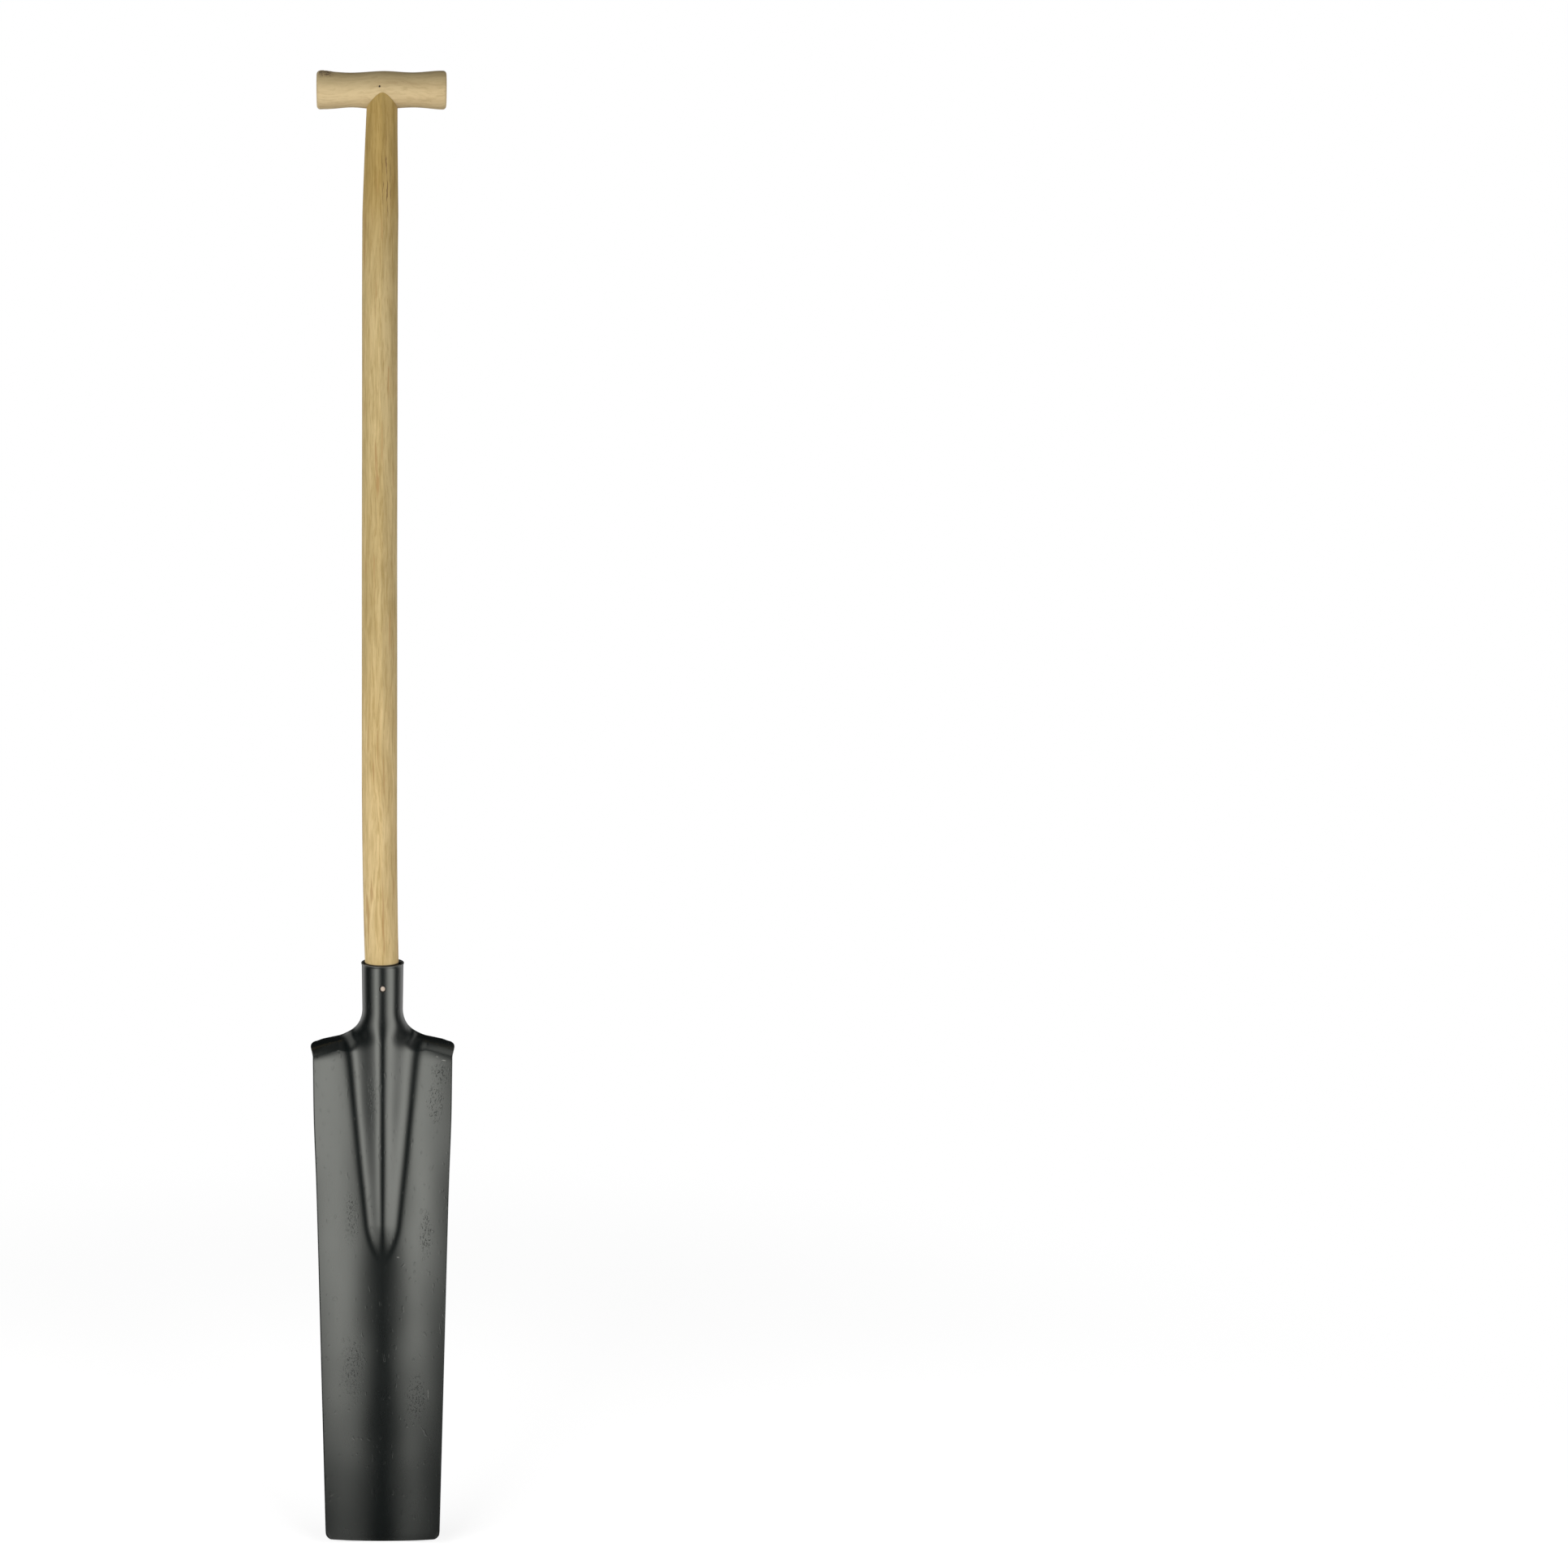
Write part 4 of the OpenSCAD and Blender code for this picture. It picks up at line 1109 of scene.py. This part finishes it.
def floor_finish():
    """White floor that is lit by the lamps and, seen by the camera, lifted to the white of the background.
    In reflections it is dark near the spade and ends where the softboxes begin, further off on the left."""
    material, finish, shader, place = new_finish("floor_white")
    path = finish.add("ShaderNodeLightPath").outputs
    away = finish.vector("LENGTH", place)
    unseen = finish.math("MAXIMUM", finish.rise(away, FLOOR_NEAR, FLOOR_FAR), path["Is Glossy Ray"])
    finish.feed(shader.inputs["Base Color"], finish.blend(unseen, FLOOR_WHITE, (0.0, 0.0, 0.0, 1.0)))
    shader.inputs["Roughness"].default_value = 0.9
    shader.inputs["Specular IOR Level"].default_value = 0.0
    shader.inputs["Emission Color"].default_value = (1.0, 1.0, 1.0, 1.0)
    lifted = finish.times(path["Is Camera Ray"], finish.rise(away, FLOOR_NEAR, FLOOR_FAR, FLOOR_LIFT, 1.0))
    finish.feed(shader.inputs["Emission Strength"], lifted)
    right_end = finish.rise(away, 0.0, 1.30, 0.15, 1.0)
    left_end = finish.rise(away, 0.20, 1.75, 0.20, 1.0)
    to_left = finish.rise(finish.split(place)[0], -0.05, 0.05, 1.0, 0.0)
    ended = finish.plus(finish.times(to_left, left_end), finish.times(finish.less(1.0, to_left), right_end))
    open_floor = finish.add("ShaderNodeMixShader")
    finish.feed(open_floor.inputs["Fac"], finish.times(path["Is Glossy Ray"], ended))
    finish.feed(open_floor.inputs[1], shader.outputs["BSDF"])
    finish.feed(open_floor.inputs[2], finish.add("ShaderNodeBsdfTransparent").outputs["BSDF"])
    finish.feed(material.node_tree.nodes["Material Output"].inputs["Surface"], open_floor.outputs["Shader"])
    return material


# Radiance that a glossy finish mirrors, by the angle from the front in degrees, positive to the right: one
# softbox on either side, a dark camera side and the pale backdrop
MIRRORED = (
    (-180, 0.4), (-152, 0.5), (-137, 1.3), (-118, 0.9), (-98, 0.05), (-76, 0.05), (-66, 0.6), (-57, 1.6),
    (-49, 2.9), (-42, 4.8), (-35, 6.0), (-28, 5.2), (-20, 2.4), (-12, 0.6), (-5, 0.05), (6, 0.05),
    (13, 0.6), (21, 2.0), (31, 4.2), (42, 5.4), (52, 5.2), (60, 3.9), (68, 1.6), (76, 0.2),
    (86, 0.1), (98, 0.3), (114, 1.2), (136, 1.3), (152, 0.5), (180, 0.4),
)
MIRRORED_MOST = max(radiance for _, radiance in MIRRORED)


def mirrored_room(finish):
    """Radiance by direction: the table round the horizon, dark above it but for a weak lamp high on either side."""
    right, back, up = finish.split(finish.add("ShaderNodeTexCoord").outputs["Generated"])
    turned = finish.math("ARCTAN2", right, finish.times(back, -1.0))
    ramp = finish.add("ShaderNodeValToRGB")
    stops = ramp.color_ramp.elements
    for degrees, _ in MIRRORED[1:-1]:
        stops.new(degrees / 360.0 + 0.5)
    for stop, (_, radiance) in zip(stops, MIRRORED):
        stop.color = rgba([radiance / MIRRORED_MOST] * 3)
    finish.feed(ramp.inputs["Fac"], finish.plus(finish.math("DIVIDE", turned, 2.0 * math.pi), 0.5))
    boxes = finish.times(ramp.outputs["Color"], MIRRORED_MOST)
    low = finish.times(boxes, finish.rise(up, 0.03, 0.26, 1.0, 0.05))
    lamps = finish.plus(finish.rise(right, 0.52, 0.78), finish.rise(right, -0.48, -0.12, 1.3, 0.0))
    return finish.plus(low, finish.times(lamps, finish.rise(up, 0.35, 0.60)))


def white_world(studio):
    """White to the camera, a soft even room for dull finishes and the mirrored room for glossy ones."""
    world = bpy.data.worlds.new("studio")
    world.use_nodes = True
    finish = Finish(world.node_tree)
    background = world.node_tree.nodes["Background"]
    path = finish.add("ShaderNodeLightPath").outputs
    glossy = finish.times(path["Is Glossy Ray"], mirrored_room(finish))
    straight = finish.math("MAXIMUM", path["Is Camera Ray"], path["Is Transmission Ray"])
    dull = finish.times(path["Is Diffuse Ray"], studio.room)
    finish.feed(background.inputs["Strength"], finish.plus(finish.plus(glossy, straight), dull))
    background.inputs["Color"].default_value = (1.0, 1.0, 1.0, 1.0)
    world.cycles.sampling_method = "NONE"
    return world


def softbox(name, azimuth, width, radiance):
    """A square-on softbox that looks at the spade; azimuth is counted from the front, positive to the right.
    A rectangle of area A gives a radiance of power / (pi A)."""
    lamp = bpy.data.lights.new(name, "AREA")
    lamp.shape = "RECTANGLE"
    lamp.size = width
    lamp.size_y = BOX_TOP - BOX_FOOT
    lamp.energy = radiance * math.pi * lamp.size * lamp.size_y
    stand = bpy.data.objects.new(name, lamp)
    turn = math.radians(azimuth)
    stand.location = (BOX_AWAY * math.sin(turn), -BOX_AWAY * math.cos(turn), (BOX_FOOT + BOX_TOP) / 2)
    stand.rotation_euler = (math.pi / 2, 0.0, turn)
    stand.visible_camera = False
    stand.visible_glossy = False
    bpy.context.scene.collection.objects.link(stand)


def photo_camera(studio):
    """Camera straight before the spade, looking down a little; its picture is shifted so that the spade comes to the
    left."""
    data = bpy.data.cameras.new("photo_camera")
    data.sensor_width = SENSOR_WIDTH
    data.lens = studio.lens
    data.shift_x = studio.shift
    data.clip_end = VIEW_END
    camera = bpy.data.objects.new("photo_camera", data)
    camera.location = (0.0, GRIP_MIDDLE.y - studio.distance, studio.height)
    camera.rotation_euler = (math.pi / 2 - studio.pitch, 0.0, 0.0)
    bpy.context.scene.collection.objects.link(camera)
    bpy.context.scene.camera = camera


# Operators


class SPADE_OT_head(bpy.types.Operator):
    """Builds the pressed head with its fixing hole and black paint"""

    bl_idname = "spade.head"
    bl_label = "Head"

    def execute(self, context):
        settings = context.scene.spade
        points, quads = closed_sheet(*head_layers(settings.head))
        piece = make_piece("spade_head", points, quads.tolist(), HEAD_SHARP)
        cut_hole(piece, hole_cutter(settings.head))
        seat_piece(piece, "head", paint_finish(settings.colours, settings.head))
        return {"FINISHED"}


class SPADE_OT_shaft(bpy.types.Operator):
    """Builds the wooden shaft with its shaved and coped upper end"""

    bl_idname = "spade.shaft"
    bl_label = "Shaft"

    def execute(self, context):
        settings = context.scene.spade
        piece = make_piece("spade_shaft", *shaft_surface(settings.wood), SHAFT_SHARP)
        seat_piece(piece, "shaft", shaft_finish(settings.colours, settings.head))
        return {"FINISHED"}


class SPADE_OT_grip(bpy.types.Operator):
    """Builds the turned cross grip and finishes the nail that locks it"""

    bl_idname = "spade.grip"
    bl_label = "Grip and nail"

    def execute(self, context):
        settings = context.scene.spade
        piece = make_piece("spade_grip", *grip_surface(settings.wood), GRIP_SHARP)
        seat_piece(piece, "grip", grip_finish(settings.colours))
        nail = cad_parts["grip_nail"]
        nail.data.materials.clear()
        nail.data.materials.append(nail_finish(settings.colours))
        return {"FINISHED"}


class SPADE_OT_stage(bpy.types.Operator):
    """Builds the white studio: floor, world, two softboxes and the camera"""

    bl_idname = "spade.stage"
    bl_label = "Stage"

    def execute(self, context):
        studio = context.scene.spade.studio
        corners = np.array([[-1, -1, 0], [1, -1, 0], [1, 1, 0], [-1, 1, 0]]) * FLOOR_HALF
        below = np.array([0.0, 0.0, CAD_BOX[0][2] - FLOOR_DROP])
        floor = make_piece("floor", corners + below, [[0, 1, 2, 3]])
        floor.data.materials.append(floor_finish())
        softbox("right_softbox", BOX_TURN, RIGHT_BOX_WIDTH, studio.right_box)
        softbox("left_softbox", -BOX_TURN, LEFT_BOX_WIDTH, studio.left_box)
        context.scene.world = white_world(studio)
        photo_camera(studio)
        context.scene.view_settings.view_transform = "Standard"
        return {"FINISHED"}


class SPADE_PT_parts(bpy.types.Panel):
    """Lists the pieces of the spade and their sizes"""

    bl_idname = "SPADE_PT_parts"
    bl_label = "Trenching Spade"
    bl_space_type = "VIEW_3D"
    bl_region_type = "UI"
    bl_category = "Spade"

    def draw(self, context):
        for operator in OPERATORS:
            self.layout.operator(operator.bl_idname)
        settings = context.scene.spade
        for part in (settings.head, settings.wood, settings.colours, settings.studio):
            box = self.layout.box()
            for name in part.__annotations__:
                box.prop(part, name)


OPERATORS = (SPADE_OT_head, SPADE_OT_shaft, SPADE_OT_grip, SPADE_OT_stage)
CLASSES = (
    SpadeHeadSizes,
    SpadeWoodSizes,
    SpadeColours,
    SpadeStudio,
    SpadeSettings,
    *OPERATORS,
    SPADE_PT_parts,
)


def register():
    """Registers the classes and hangs the settings on the scene."""
    for one in CLASSES:
        bpy.utils.register_class(one)
    bpy.types.Scene.spade = PointerProperty(type=SpadeSettings)


def unregister():
    """Undoes register."""
    del bpy.types.Scene.spade
    for one in reversed(CLASSES):
        bpy.utils.unregister_class(one)


def main():
    """Registers the add-on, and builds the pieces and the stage."""
    register()
    bpy.ops.spade.head()
    bpy.ops.spade.shaft()
    bpy.ops.spade.grip()
    bpy.ops.spade.stage()


if __name__ == "__main__":
    main()
